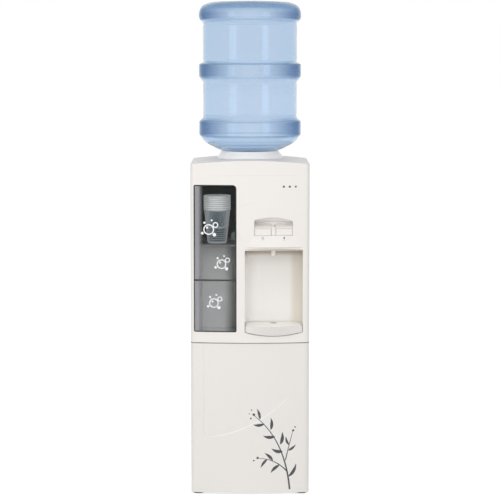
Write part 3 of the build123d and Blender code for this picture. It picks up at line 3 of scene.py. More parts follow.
import bmesh
import bpy
import numpy as np
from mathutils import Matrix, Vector


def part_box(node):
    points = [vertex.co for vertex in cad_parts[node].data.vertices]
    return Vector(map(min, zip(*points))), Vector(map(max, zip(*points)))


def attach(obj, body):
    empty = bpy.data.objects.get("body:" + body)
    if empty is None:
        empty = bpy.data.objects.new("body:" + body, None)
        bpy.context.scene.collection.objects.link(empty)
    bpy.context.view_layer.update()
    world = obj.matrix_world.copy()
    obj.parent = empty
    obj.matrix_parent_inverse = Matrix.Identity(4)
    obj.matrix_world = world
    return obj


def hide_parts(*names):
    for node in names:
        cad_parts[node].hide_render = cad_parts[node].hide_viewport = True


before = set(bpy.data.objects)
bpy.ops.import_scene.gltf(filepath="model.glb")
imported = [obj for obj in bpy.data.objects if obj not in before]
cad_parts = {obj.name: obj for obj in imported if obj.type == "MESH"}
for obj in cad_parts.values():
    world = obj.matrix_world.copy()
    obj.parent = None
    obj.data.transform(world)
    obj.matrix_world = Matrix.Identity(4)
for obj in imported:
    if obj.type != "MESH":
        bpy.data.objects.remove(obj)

bl_info = {
    "name": "Bottled water dispenser",
    "version": (1, 0, 0),
    "blender": (4, 5, 0),
    "location": "View3D > Sidebar > Dispenser",
    "description": "Dresses the packed water dispenser: bottle, cups, prints, fittings, finishes and studio",
    "category": "Object",
}

MM = 0.001

# Places that pieces and finishes share, in millimetres
BOTTLE_AXIS = (0.0, 10.0)
CUP_AXIS = (-86.0, -107.0)
CUP_FLOOR = 660.6
CUP_PITCH = 5.5
RIM_COUNT = 7
RIM_LOW, RIM_HIGH = 747.0, 785.6

# The camera: place in metres, tilt down in degrees, lens in millimetres, shift as a share of the frame
CAMERA_PLACE = (0.0, -4.700, 1.140)
CAMERA_TILT = 5.71
CAMERA_LENS = 126.84
CAMERA_SHIFT = -0.03

WHITE = (1.0, 1.0, 1.0, 1.0)


# Shapes


def rounded(corners, setback, steps=6):
    """A run of corners with each inner corner c eased: (1-t)^2 a + 2 t (1-t) c + t^2 b,
    where a and b lie on the two runs that meet at c, the set-back distance from it."""
    c = np.asarray(corners, float)
    before, here, after = c[:-2], c[1:-1], c[2:]
    to_before, to_after = before - here, after - here
    run_before = np.linalg.norm(to_before, axis=1, keepdims=True)
    run_after = np.linalg.norm(to_after, axis=1, keepdims=True)
    wanted = np.broadcast_to(np.asarray(setback, float).reshape(-1, 1), run_before.shape)
    back = np.minimum(wanted, np.minimum(0.48 * run_before, 0.48 * run_after))
    a = here + to_before / run_before * back
    b = here + to_after / run_after * back
    t = np.linspace(0.0, 1.0, steps)[:, None, None]
    eased = (1 - t) ** 2 * a + 2 * t * (1 - t) * here + t**2 * b
    return np.vstack([c[:1], eased.transpose(1, 0, 2).reshape(-1, c.shape[1]), c[-1:]])


def heading(path):
    """Unit direction of a path at each of its points."""
    along = np.gradient(path, axis=0)
    return along / np.linalg.norm(along, axis=1, keepdims=True)


def surface(grid, wrap_rows=False, wrap_columns=False):
    """Points of a grid, rows by columns by three, and the four-sided faces between its neighbours,
    joined round where a side wraps."""
    rows, columns = grid.shape[:2]
    r = np.arange(rows if wrap_rows else rows - 1)
    c = np.arange(columns if wrap_columns else columns - 1)
    i, j = np.meshgrid(r, c, indexing="ij")
    i2, j2 = (i + 1) % rows, (j + 1) % columns
    quads = np.stack([i * columns + j, i2 * columns + j, i2 * columns + j2, i * columns + j2], -1)
    return grid.reshape(-1, 3), quads.reshape(-1, 4)


def gathered(shapes):
    """Several sets of points and faces as one."""
    points = np.vstack([s[0] for s in shapes])
    starts = np.cumsum([0] + [len(s[0]) for s in shapes[:-1]])
    faces = np.vstack([s[1] + n for s, n in zip(shapes, starts)])
    return points, faces


def turned(profile, axis, steps, wrap_profile=False):
    """A profile of radius r and height z turned about an upright axis at x, y:
    (x + r cos a, y + r sin a, z)."""
    x, y = axis
    a = np.linspace(0.0, 2 * np.pi, steps, endpoint=False)[:, None]
    r, z = profile[:, 0][None, :], profile[:, 1][None, :]
    grid = np.stack([x + r * np.cos(a), y + r * np.sin(a), z + 0 * a], -1)
    return surface(grid, wrap_rows=True, wrap_columns=wrap_profile)


def walled(profile, thickness):
    """A profile carried out and back: each point p, then p less its outward normal times the wall."""
    along = heading(profile)
    inner = profile - np.stack([along[:, 1], -along[:, 0]], -1) * thickness
    inner[:, 0] = np.maximum(inner[:, 0], 0.0)
    return np.vstack([profile, inner[::-1]])


def with_ends(values):
    """A row of values with its first and its last one given twice, so a section can close there."""
    return values[np.r_[0, np.arange(len(values)), len(values) - 1]]


def tube(path, radius, sides):
    """A circle carried along a path: p + radius (n cos a + b sin a), with n and b square to the path."""
    path = path[np.r_[True, np.linalg.norm(np.diff(path, axis=0), axis=1) > 1e-6]]
    along = heading(path)
    lean = np.array([0.36, 0.48, 0.80])
    n = np.cross(along, lean)
    n /= np.linalg.norm(n, axis=1, keepdims=True)
    b = np.cross(along, n)
    a = np.linspace(0.0, 2 * np.pi, sides, endpoint=False)
    ring = np.cos(a)[None, :, None] * n[:, None, :] + np.sin(a)[None, :, None] * b[:, None, :]
    size = np.r_[0.0, np.full(len(path), radius), 0.0][:, None, None]
    return surface(with_ends(path)[:, None, :] + size * with_ends(ring), wrap_columns=True)


def triangles(node):
    """Corners of a CAD node's triangles in millimetres, as one array."""
    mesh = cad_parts[node].data
    co = np.empty(len(mesh.vertices) * 3)
    mesh.vertices.foreach_get("co", co)
    mesh.calc_loop_triangles()
    idx = np.empty(len(mesh.loop_triangles) * 3, np.int32)
    mesh.loop_triangles.foreach_get("vertices", idx)
    return co.reshape(-1, 3)[idx].reshape(-1, 3, 3) / MM


def face_y(node, x, z):
    """Foremost y of a CAD node at each x and z: the lowest of u ya + v yb + w yc over its triangles,
    with u, v, w the shares of the three corners at that x and z."""
    px, pz = x.reshape(-1, 1), z.reshape(-1, 1)
    t = triangles(node)
    near = (t[:, :, 0].min(1) < px.max() + 1) & (t[:, :, 0].max(1) > px.min() - 1)
    near &= (t[:, :, 2].min(1) < pz.max() + 1) & (t[:, :, 2].max(1) > pz.min() - 1)
    t = t[near]
    a, b, c = t[:, 0], t[:, 1], t[:, 2]
    area = (b[:, 0] - a[:, 0]) * (c[:, 2] - a[:, 2]) - (c[:, 0] - a[:, 0]) * (b[:, 2] - a[:, 2])
    keep = np.abs(area) > 1e-6
    a, b, c, area = a[keep], b[keep], c[keep], area[keep]
    v = ((px - a[:, 0]) * (c[:, 2] - a[:, 2]) - (c[:, 0] - a[:, 0]) * (pz - a[:, 2])) / area
    w = ((b[:, 0] - a[:, 0]) * (pz - a[:, 2]) - (px - a[:, 0]) * (b[:, 2] - a[:, 2])) / area
    u = 1 - v - w
    inside = (u > -1e-4) & (v > -1e-4) & (w > -1e-4)
    y = np.where(inside, u * a[:, 1] + v * b[:, 1] + w * c[:, 1], np.inf)
    return y.min(1).reshape(x.shape)


def print_stroke(node, midline, half_width, rise, sink=0.05):
    """A flat printed stroke on a node's front: the four corners of its section, half a width to each side
    of the midline, carried along it and laid on the face."""
    along = with_ends(heading(midline))
    side = np.stack([-along[:, 1], along[:, 0]], -1) * np.r_[0.0, half_width, 0.0][:, None]
    left, right = with_ends(midline) + side, with_ends(midline) - side
    x, z = np.moveaxis(np.stack([left, left, right, right], 1), -1, 0)
    y = face_y(node, x, z) + np.array([sink, -rise, -rise, sink])
    return surface(np.stack([x, y, z], -1), wrap_columns=True)


def print_ring(node, x, z, outer, inner=0.0, rise=0.08, sink=0.05, steps=40):
    """A printed disc or ring on a node's front: radius r at angle a gives x + r cos a, z + r sin a."""
    a = np.linspace(0.0, 2 * np.pi, steps, endpoint=False)[:, None]
    r = np.array([inner, outer, outer, inner])[None, :]
    gx, gz = x + r * np.cos(a), z + r * np.sin(a)
    gy = face_y(node, gx, gz) + np.array([sink, sink, -rise, -rise])
    return surface(np.stack([gx, gy, gz], -1), wrap_rows=True, wrap_columns=inner > 0)


def arc_line(start, pull, end, steps):
    """A curved midline: (1-t)^2 start + 2 t (1-t) pull + t^2 end."""
    t = np.linspace(0.0, 1.0, steps)[:, None]
    start, pull, end = (np.asarray(p, float) for p in (start, pull, end))
    return (1 - t) ** 2 * start + 2 * t * (1 - t) * pull + t**2 * end


def leaf_width(steps, widest, lean):
    """Half width of a leaf or a drop along its midline: widest sin(pi t^lean)."""
    return widest * np.sin(np.pi * np.linspace(0.0, 1.0, steps) ** lean)


def placed(shape, name, body, finish, sharp=35.0):
    """One closed piece from points and faces in millimetres, with its doubles merged and faces outward.
    Edges sharper than so many degrees stay sharp."""
    points, faces = shape
    merge = 1e-7
    mesh = bpy.data.meshes.new(name)
    mesh.from_pydata((points * MM).tolist(), [], faces.tolist())
    work = bmesh.new()
    work.from_mesh(mesh)
    bmesh.ops.remove_doubles(work, verts=work.verts, dist=merge)
    bmesh.ops.dissolve_degenerate(work, edges=work.edges, dist=merge)
    bmesh.ops.recalc_face_normals(work, faces=work.faces)
    work.to_mesh(mesh)
    work.free()
    mesh.shade_smooth()
    mesh.set_sharp_from_angle(angle=math.radians(sharp))
    mesh.materials.append(finish)
    piece = bpy.data.objects.new(name, mesh)
    bpy.context.scene.collection.objects.link(piece)
    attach(piece, body)
    return piece


def mark_rings(bottle, wall, ring):
    """Writes how far each point stands out from the plain wall, 0 to 1: (r - wall) / (ring - wall), less
    3 mm at each end. The base's edge gets up to 0.7 and the low shoulder up to 0.95, by height."""
    mesh = bottle.data
    co = np.empty(len(mesh.vertices) * 3)
    mesh.vertices.foreach_get("co", co)
    x, y, z = co.reshape(-1, 3).T
    r = np.hypot(x - BOTTLE_AXIS[0] * MM, y - BOTTLE_AXIS[1] * MM)
    out = np.clip((r - wall - 0.003) / (ring - wall - 0.006), 0.0, 1.0)
    base = 0.7 * np.clip((z - 1.262) / 0.014, 0.0, 1.0)
    low = 0.95 * np.clip((0.909 - z) / 0.012, 0.0, 1.0)
    mark = mesh.attributes.new("ring", "FLOAT", "POINT")
    mark.data.foreach_set("value", np.maximum(out, np.maximum(base, low)))


# Nodes of the finishes


def fill(node, inputs):
    """Gives each input of a node its number or colour, or the socket that feeds it."""
    for key, value in inputs.items():
        if isinstance(value, bpy.types.NodeSocket):
            node.id_data.links.new(value, node.inputs[key])
        else:
            node.inputs[key].default_value = value


def add(tree, kind, inputs=None, **settings):
    """A new node of a kind, with its settings and its inputs."""
    node = tree.nodes.new("ShaderNode" + kind)
    for key, value in settings.items():
        setattr(node, key, value)
    fill(node, inputs or {})
    return node


def calc(tree, operation, first, second, clamp=False):
    """One value worked out from two numbers or sockets."""
    return add(tree, "Math", {0: first, 1: second}, operation=operation, use_clamp=clamp).outputs["Value"]


def ranged(tree, value, low, high, start=0.0, end=1.0):
    """A value that goes from start to end, spread from low to high."""
    inputs = {"Value": value, "From Min": start, "From Max": end, "To Min": low, "To Max": high}
    return add(tree, "MapRange", inputs).outputs["Result"]


def mixed(tree, mask, low, high):
    """A colour between two others by a mask."""
    return add(tree, "Mix", {"Factor": mask, "A": low, "B": high}, data_type="RGBA").outputs["Result"]


def noise(tree, where, scale, detail=2.0, roughness=0.5):
    """Cloudy noise from 0 to 1."""
    inputs = {"Vector": where, "Scale": scale, "Detail": detail, "Roughness": roughness}
    return add(tree, "TexNoise", inputs).outputs["Fac"]


def height_of(tree, vector):
    """The upward part of a vector."""
    return add(tree, "SeparateXYZ", {"Vector": vector}).outputs["Z"]


def along_axis(tree, where, axis, start, end):
    """A mask that eases from 0 to 1 between two places, in metres, along one axis of the coordinates."""
    place = add(tree, "SeparateXYZ", {"Vector": where}).outputs[axis]
    inputs = {"Value": place, "From Min": start, "From Max": end}
    return add(tree, "MapRange", inputs, interpolation_type="SMOOTHSTEP").outputs["Result"]


def bumped(tree, height, distance, strength=0.4):
    """A normal tilted by a bump of so many metres."""
    return add(tree, "Bump", {"Height": height, "Distance": distance, "Strength": strength}).outputs["Normal"]


def seen_ray(tree):
    """1 where the camera looks, straight, by a gloss or through glass, and 0 for all other light."""
    ray = add(tree, "LightPath").outputs
    seen = calc(tree, "MAXIMUM", ray["Is Camera Ray"], ray["Is Glossy Ray"])
    return calc(tree, "MAXIMUM", seen, ray["Is Transmission Ray"])


# Effects that more than one finish uses


def effect_group(name, inputs, outputs):
    """An empty effect: named inputs, each with its first number or vector, and outputs that are numbers."""
    group = bpy.data.node_groups.new(name, "ShaderNodeTree")
    for label, value in inputs.items():
        kind = "NodeSocketFloat" if isinstance(value, float) else "NodeSocketVector"
        group.interface.new_socket(name=label, in_out="INPUT", socket_type=kind).default_value = value
    for label in outputs:
        group.interface.new_socket(name=label, in_out="OUTPUT", socket_type="NodeSocketFloat")
    return group, group.nodes.new("NodeGroupInput").outputs, group.nodes.new("NodeGroupOutput")


def moulded_grain():
    """Fine grain of a moulded skin: its height, and a slow drift of tone."""
    name = "Moulded grain"
    if name in bpy.data.node_groups:
        return bpy.data.node_groups[name]
    group, given, made = effect_group(
        name, {"Vector": (0.0, 0.0, 0.0), "Grain scale": 900.0, "Drift scale": 6.0}, ("Height", "Drift"))
    fill(made, {"Height": noise(group, given["Vector"], given["Grain scale"], 3.0, 0.6),
                "Drift": noise(group, given["Vector"], given["Drift scale"])})
    return group


def settled_dust():
    """Dust on faces that look up: a mask from the upward part of the normal, broken by cloudy noise."""
    name = "Settled dust"
    if name in bpy.data.node_groups:
        return bpy.data.node_groups[name]
    group, given, made = effect_group(
        name, {"Vector": (0.0, 0.0, 0.0), "Amount": 0.3, "Cloud scale": 40.0}, ("Mask",))
    up = ranged(group, height_of(group, add(group, "NewGeometry").outputs["Normal"]), 0.0, 1.0, 0.2)
    cloud = noise(group, given["Vector"], given["Cloud scale"], 4.0)
    fill(made, {"Mask": calc(group, "MULTIPLY", calc(group, "MULTIPLY", up, cloud), given["Amount"])})
    return group


def drawn_lines():
    """Lines of rolled or drawn metal: noise stretched along one axis, and wide blotches."""
    name = "Drawn lines"
    if name in bpy.data.node_groups:
        return bpy.data.node_groups[name]
    group, given, made = effect_group(
        name, {"Vector": (0.0, 0.0, 0.0), "Stretch": (300.0, 300.0, 6.0)}, ("Lines", "Blotches"))
    pulled = add(group, "VectorMath", {0: given["Vector"], 1: given["Stretch"]}, operation="MULTIPLY")
    blotch = add(group, "TexVoronoi", {"Vector": given["Vector"], "Scale": 90.0}).outputs["Color"]
    fill(made, {"Lines": noise(group, pulled.outputs["Vector"], 1.0, 4.0),
                "Blotches": add(group, "SeparateColor", {"Color": blotch}).outputs["Red"]})
    return group


# Finishes


def toned(colour, factor):
    """A colour made darker or lighter by a factor."""
    return tuple(min(c * factor, 1.0) for c in colour[:3]) + (1.0,)


def new_finish(name):
    """An empty finish: its material, node tree, main shader and object coordinates."""
    made = bpy.data.materials.new(name)
    made.use_nodes = True
    tree = made.node_tree
    return made, tree, tree.nodes["Principled BSDF"], add(tree, "TexCoord").outputs["Object"]


def shaded(finish, axis, start, end, tone, *also):
    """Paints light or shade on a finish: another tone laid over it, easing in between two places along an
    axis, and along others also.
    """
    tree = finish.node_tree
    colour = tree.nodes["Principled BSDF"].inputs["Base Color"]
    where = tree.nodes["Texture Coordinate"].outputs["Object"]
    mask = along_axis(tree, where, axis, start, end)
    for limit in also:
        mask = calc(tree, "MULTIPLY", mask, along_axis(tree, where, *limit))
    tree.links.new(mixed(tree, mask, colour.links[0].from_socket, tone), colour)
    return finish


def dusted(tree, where, tone, amount, dust_tone):
    """A tone with settled dust on it, or the bare tone where the amount is nought."""
    if not amount:
        return tone
    layer = add(tree, "Group", {"Amount": amount, "Vector": where}, node_tree=settled_dust())
    return mixed(tree, layer.outputs["Mask"], tone, dust_tone)


def moulded(name, colour, roughness, drift=0.008, grain=1400.0, depth=0.00001, dust=0.0, coat=0.0,
            specular=0.5):
    """Moulded or painted skin: drift of tone, roughness that follows it, fine grain, and dust on top."""
    made, tree, shader, where = new_finish(name)
    skin = add(tree, "Group", {"Grain scale": grain, "Vector": where}, node_tree=moulded_grain()).outputs
    tone = mixed(tree, skin["Drift"], toned(colour, 1 - drift), toned(colour, 1 + drift))
    fill(shader, {
        "Base Color": dusted(tree, where, tone, dust, (0.62, 0.60, 0.56, 1.0)),
        "Roughness": ranged(tree, skin["Drift"], roughness - 0.05, roughness + 0.05),
        "Normal": bumped(tree, skin["Height"], depth),
        "Coat Weight": coat,
        "Coat Roughness": 0.12,
        "Specular IOR Level": specular,
    })
    return made


def sheet_metal(name, colour, roughness=0.35, stretch=(300.0, 300.0, 6.0), spread=0.10, metallic=1.0,
                dust=0.0):
    """Bare or plated metal: drawn lines in its roughness and blotches in its tone."""
    made, tree, shader, where = new_finish(name)
    skin = add(tree, "Group", {"Stretch": stretch, "Vector": where}, node_tree=drawn_lines()).outputs
    tone = mixed(tree, skin["Blotches"], toned(colour, 1 - spread), toned(colour, 1 + spread))
    fill(shader, {
        "Base Color": dusted(tree, where, tone, dust, (0.50, 0.48, 0.45, 1.0)),
        "Roughness": ranged(tree, skin["Lines"], roughness - 0.1, roughness + 0.1),
        "Normal": bumped(tree, skin["Lines"], 0.00002, 0.25),
        "Metallic": metallic,
    })
    return made


def smoked_finish(name, colour, alpha, painted_reflection=None):
    """Smoked clear moulding: part of the light passes, less at a glancing look, and a glossy skin. A painted
    reflection is a paler, less clear band along x: the place where it starts, the place where it is full, its
    tone, and how much light it stops."""
    made, tree, shader, where = new_finish(name)
    skin = add(tree, "Group", {"Vector": where}, node_tree=moulded_grain()).outputs
    tone = mixed(tree, skin["Drift"], toned(colour, 0.96), toned(colour, 1.04))
    glance = add(tree, "LayerWeight", {"Blend": 0.25}).outputs["Facing"]
    held = ranged(tree, glance, alpha, min(alpha + 0.35, 1.0))
    if painted_reflection:
        start, full, reflection_tone, stopped = painted_reflection
        mask = along_axis(tree, where, "X", start, full)
        tone = mixed(tree, mask, tone, reflection_tone)
        held = calc(tree, "MAXIMUM", ranged(tree, mask, 0.0, stopped), held)
    fill(shader, {
        "Base Color": tone,
        "Alpha": held,
        "Roughness": ranged(tree, skin["Drift"], 0.06, 0.12),
        "Normal": bumped(tree, skin["Height"], 0.000004, 0.2),
        "Specular IOR Level": 0.08,
    })
    return made


def bottle_finish(face, edge, deep):
    """Blue clear moulding: light passes, deeper where a wall is seen edgeways, and most in the heavy rings.
    The piece's own attribute 'ring' says how far a point stands out from the plain wall."""
    made, tree, shader, where = new_finish("Blue clear bottle")
    ring = add(tree, "Attribute", attribute_name="ring").outputs["Fac"]
    glance = add(tree, "LayerWeight", {"Blend": 0.5}).outputs["Facing"]
    sharpened = calc(tree, "POWER", glance, ranged(tree, ring, 1.8, 1.0))
    edgeways = calc(tree, "MULTIPLY", sharpened, ranged(tree, ring, 1.0, 1.55), clamp=True)
    # thin clear walls let most of the light through to what stands under them
    ray = add(tree, "LightPath").outputs
    cast = calc(tree, "MAXIMUM", ray["Is Shadow Ray"], ray["Is Diffuse Ray"])
    fill(shader, {
        "Base Color": mixed(tree, edgeways, face, mixed(tree, ring, edge, deep)),
        "Normal": bumped(tree, noise(tree, where, 14.0, 1.0), 0.0006, 0.25),
        "Alpha": ranged(tree, cast, 1.0, 0.12),
        "Roughness": 0.04,
        "IOR": 1.45,
        "Transmission Weight": 1.0,
        "Specular Tint": (0.50, 0.66, 0.82, 1.0),
    })
    return made


def cup_finish(rim_tone, wall_tone):
    """Thin clear moulding of the cups: milky rims with painted shade between them, walls that show mostly
    where they are seen edgeways and glow there with painted light, and a line for the floor of each cup."""
    made, tree, shader, where = new_finish("Clear cup moulding")
    height = height_of(tree, where)
    half_rim = 0.5 * (RIM_HIGH - RIM_LOW) / RIM_COUNT * MM
    from_rim = calc(tree, "SUBTRACT", height, RIM_LOW * MM + half_rim)
    # painted shade: the milky tone of the rims drops between one rim and the next
    between = ranged(tree, calc(tree, "PINGPONG", from_rim, half_rim), 1.0, 0.58, 0.0010, 0.0024)
    rims = calc(tree, "MULTIPLY", along_axis(tree, where, "Z", 0.7440, 0.7475), between)
    # the floors lie a pitch apart from the lowest one up, and the lines end half a pitch over the top one
    pitch = CUP_PITCH * MM
    from_floor = calc(tree, "SUBTRACT", height, CUP_FLOOR * MM)
    line = ranged(tree, calc(tree, "PINGPONG", from_floor, 0.5 * pitch), 0.0, 0.5, 0.24 * pitch, 0.0)
    top = CUP_FLOOR * MM + (RIM_COUNT - 0.5) * pitch
    floors = calc(tree, "MULTIPLY", line, along_axis(tree, where, "Z", top + 0.001, top))
    glance = add(tree, "LayerWeight", {"Blend": 0.5}).outputs["Facing"]
    edge = calc(tree, "POWER", glance, 1.1)
    shown = calc(tree, "MAXIMUM", calc(tree, "MAXIMUM", edge, floors), rims)
    fill(shader, {
        "Base Color": mixed(tree, shown, wall_tone, rim_tone),
        "Alpha": ranged(tree, shown, 0.16, 0.94),
        # painted glow: the walls give out light of their own where they are seen edgeways, standing in for
        # light that a clear wall carries along itself
        "Emission Color": (0.84, 0.90, 0.92, 1.0),
        "Emission Strength": ranged(tree, edge, 0.0, 0.30),
        "Roughness": ranged(tree, noise(tree, where, 60.0), 0.08, 0.2),
        "Specular IOR Level": 0.8,
    })
    return made


def foam_finish(name, colour):
    """Expanded foam: small round cells pressed into its skin."""
    made, tree, shader, where = new_finish(name)
    cells = add(tree, "TexVoronoi", {"Vector": where, "Scale": 320.0}).outputs["Distance"]
    fill(shader, {
        "Base Color": mixed(tree, cells, toned(colour, 1.04), toned(colour, 0.86)),
        "Normal": bumped(tree, cells, 0.0006, 0.5),
        "Roughness": 0.9,
    })
    return made


def dressed(finish, *names):
    """Lays one finish on CAD nodes."""
    for name in names:
        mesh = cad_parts[name].data
        mesh.materials.clear()
        mesh.materials.append(finish)


# User settings


def length(name, description, default):
    """A size in metres."""
    return bpy.props.FloatProperty(name=name, description=description, default=default, unit="LENGTH",
                                   subtype="DISTANCE", min=0.0, precision=4)


def tint(name, description, default):
    """A colour."""
    return bpy.props.FloatVectorProperty(name=name, description=description, default=default, size=4,
                                         subtype="COLOR", min=0.0, max=1.0)


class DispenserSizes(bpy.types.PropertyGroup):
    bottle_ring: length("Bottle ring radius", "Radius of the three heavy rings of the bottle", 0.1358)
    bottle_wall: length("Bottle wall radius", "Radius of the plain walls between the rings", 0.1250)
    bottle_skin: length("Bottle skin", "Thickness of the bottle's moulding", 0.0022)
    cup_rim: length("Cup rim radius", "Radius of the cups' rims", 0.0358)
    cup_foot: length("Cup foot radius", "Radius of the lowest cup's foot", 0.0238)
    print_rise: length("Print thickness", "Thickness of the printed decoration", 0.00008)
    coil_tube: length("Coil tube radius", "Radius of the condenser's tube", 0.0025)
    screw_head: length("Screw head radius", "Radius of the rear panel's screw heads", 0.0038)


class DispenserColours(bpy.types.PropertyGroup):
    fascia: tint("Front", "Moulded upper front", (0.870, 0.836, 0.802, 1.0))
    lower: tint("Lower front", "Moulded lower front", (0.835, 0.808, 0.774, 1.0))
    sides: tint("Sides", "Painted side sheets", (0.80, 0.82, 0.76, 1.0))
    cover: tint("Top cover", "Moulded top cover", (0.760, 0.745, 0.755, 1.0))
    collar: tint("Collar", "Bottle collar and small white parts", (0.950, 0.962, 0.970, 1.0))
    # painted light: the drip plate is paler than the front's moulding
    plate: tint("Drip plate", "Loose plate over the drip tray", (0.960, 0.945, 0.925, 1.0))
    # painted light: the alcove's lining is paler than the front's moulding
    alcove: tint("Alcove", "Lining of the dispensing alcove", (0.990, 0.980, 0.960, 1.0))
    niche: tint("Cup niche", "Lining round the cups", (0.048, 0.050, 0.048, 1.0))
    storage: tint("Storage bay", "Lining of the lower storage bay", (0.960, 0.968, 0.975, 1.0))
    smoke: tint("Smoked door", "Smoked clear doors", (0.070, 0.074, 0.072, 1.0))
    bottle_face: tint("Bottle", "Bottle seen square on", (0.690, 0.775, 0.878, 1.0))
    bottle_edge: tint("Bottle edge", "Thin walls seen edgeways", (0.46, 0.66, 0.82, 1.0))
    bottle_deep: tint("Bottle rings", "Heavy rings seen edgeways", (0.012, 0.15, 0.37, 1.0))
    printed: tint("Printed sprig", "Dark print on the lower front", (0.064, 0.062, 0.074, 1.0))


def sizes():
    return bpy.context.scene.dispenser_sizes


def colours():
    return bpy.context.scene.dispenser_colours


# Operators


class DISPENSER_OT_stage(bpy.types.Operator):
    """Builds the camera, the pale floor, the white surroundings and the soft lamps"""

    bl_idname = "dispenser.stage"
    bl_label = "Studio"

    def execute(self, context):
        scene = context.scene
        scene.view_settings.view_transform = "Standard"
        camera = bpy.data.objects.new("studio_camera", bpy.data.cameras.new("studio_camera"))
        scene.collection.objects.link(camera)
        camera.location = CAMERA_PLACE
        camera.rotation_euler = (math.radians(90.0 - CAMERA_TILT), 0.0, 0.0)
        camera.data.sensor_width = 36.0
        camera.data.lens = CAMERA_LENS
        camera.data.shift_y = CAMERA_SHIFT
        scene.camera = camera

        world = bpy.data.worlds.new("White surroundings")
        world.use_nodes = True
        tree = world.node_tree
        fill(tree.nodes["Background"], {"Color": WHITE, "Strength": ranged(tree, seen_ray(tree), 0.50, 1.0)})
        scene.world = world

        pale = bpy.data.materials.new("Pale floor")
        pale.use_nodes = True
        tree = pale.node_tree
        fill(tree.nodes["Principled BSDF"], {
            "Base Color": (0.86, 0.86, 0.86, 1.0),
            "Roughness": 0.9,
            "Specular IOR Level": 0.0,
            "Emission Color": WHITE,
            "Emission Strength": calc(tree, "MULTIPLY", seen_ray(tree), 0.62),
        })
        span = np.linspace(-60.0, 60.0, 13)
        gx, gy = np.meshgrid(span, span, indexing="ij")
        points, faces = surface(np.stack([gx, gy, 0 * gx], -1))
        mesh = bpy.data.meshes.new("floor")
        mesh.from_pydata(points.tolist(), [], faces.tolist())
        mesh.materials.append(pale)
        floor = bpy.data.objects.new("floor", mesh)
        scene.collection.objects.link(floor)

        self.lamp("left_softbox", (-2.10, -2.30, 1.30), (0.0, 0.01, 1.10), 0.95, 2.0, 8.6)
        self.lamp("right_softbox", (1.86, -2.53, 1.30), (0.0, 0.01, 1.10), 0.85, 2.0, 6.2)
        overhead = self.lamp("overhead_softbox", (-0.3, -1.5, 3.4), (0.0, 0.0, 0.7), 2.6, 2.2, 30.0)
        key = self.lamp("front_key", (-0.3, -3.6, 1.8), (0.0, -0.1, 0.6), 1.6, 1.6, 25.0)
        # the side lamps show as strips on the bottle; the others leave no square of light on it
        overhead.visible_glossy = key.visible_glossy = False
        overhead.visible_transmission = key.visible_transmission = False
        return {"FINISHED"}

    def lamp(self, name, place, target, width, height, power):
        """A soft lamp at a place, in metres, turned to a target."""
        data = bpy.data.lights.new(name, "AREA")
        data.shape = "RECTANGLE"
        data.size = width
        data.size_y = height
        data.energy = power
        lamp = bpy.data.objects.new(name, data)
        lamp.location = place
        lamp.rotation_euler = (Vector(target) - Vector(place)).to_track_quat("-Z", "Y").to_euler()
        lamp.visible_camera = False
        bpy.context.scene.collection.objects.link(lamp)
        return lamp


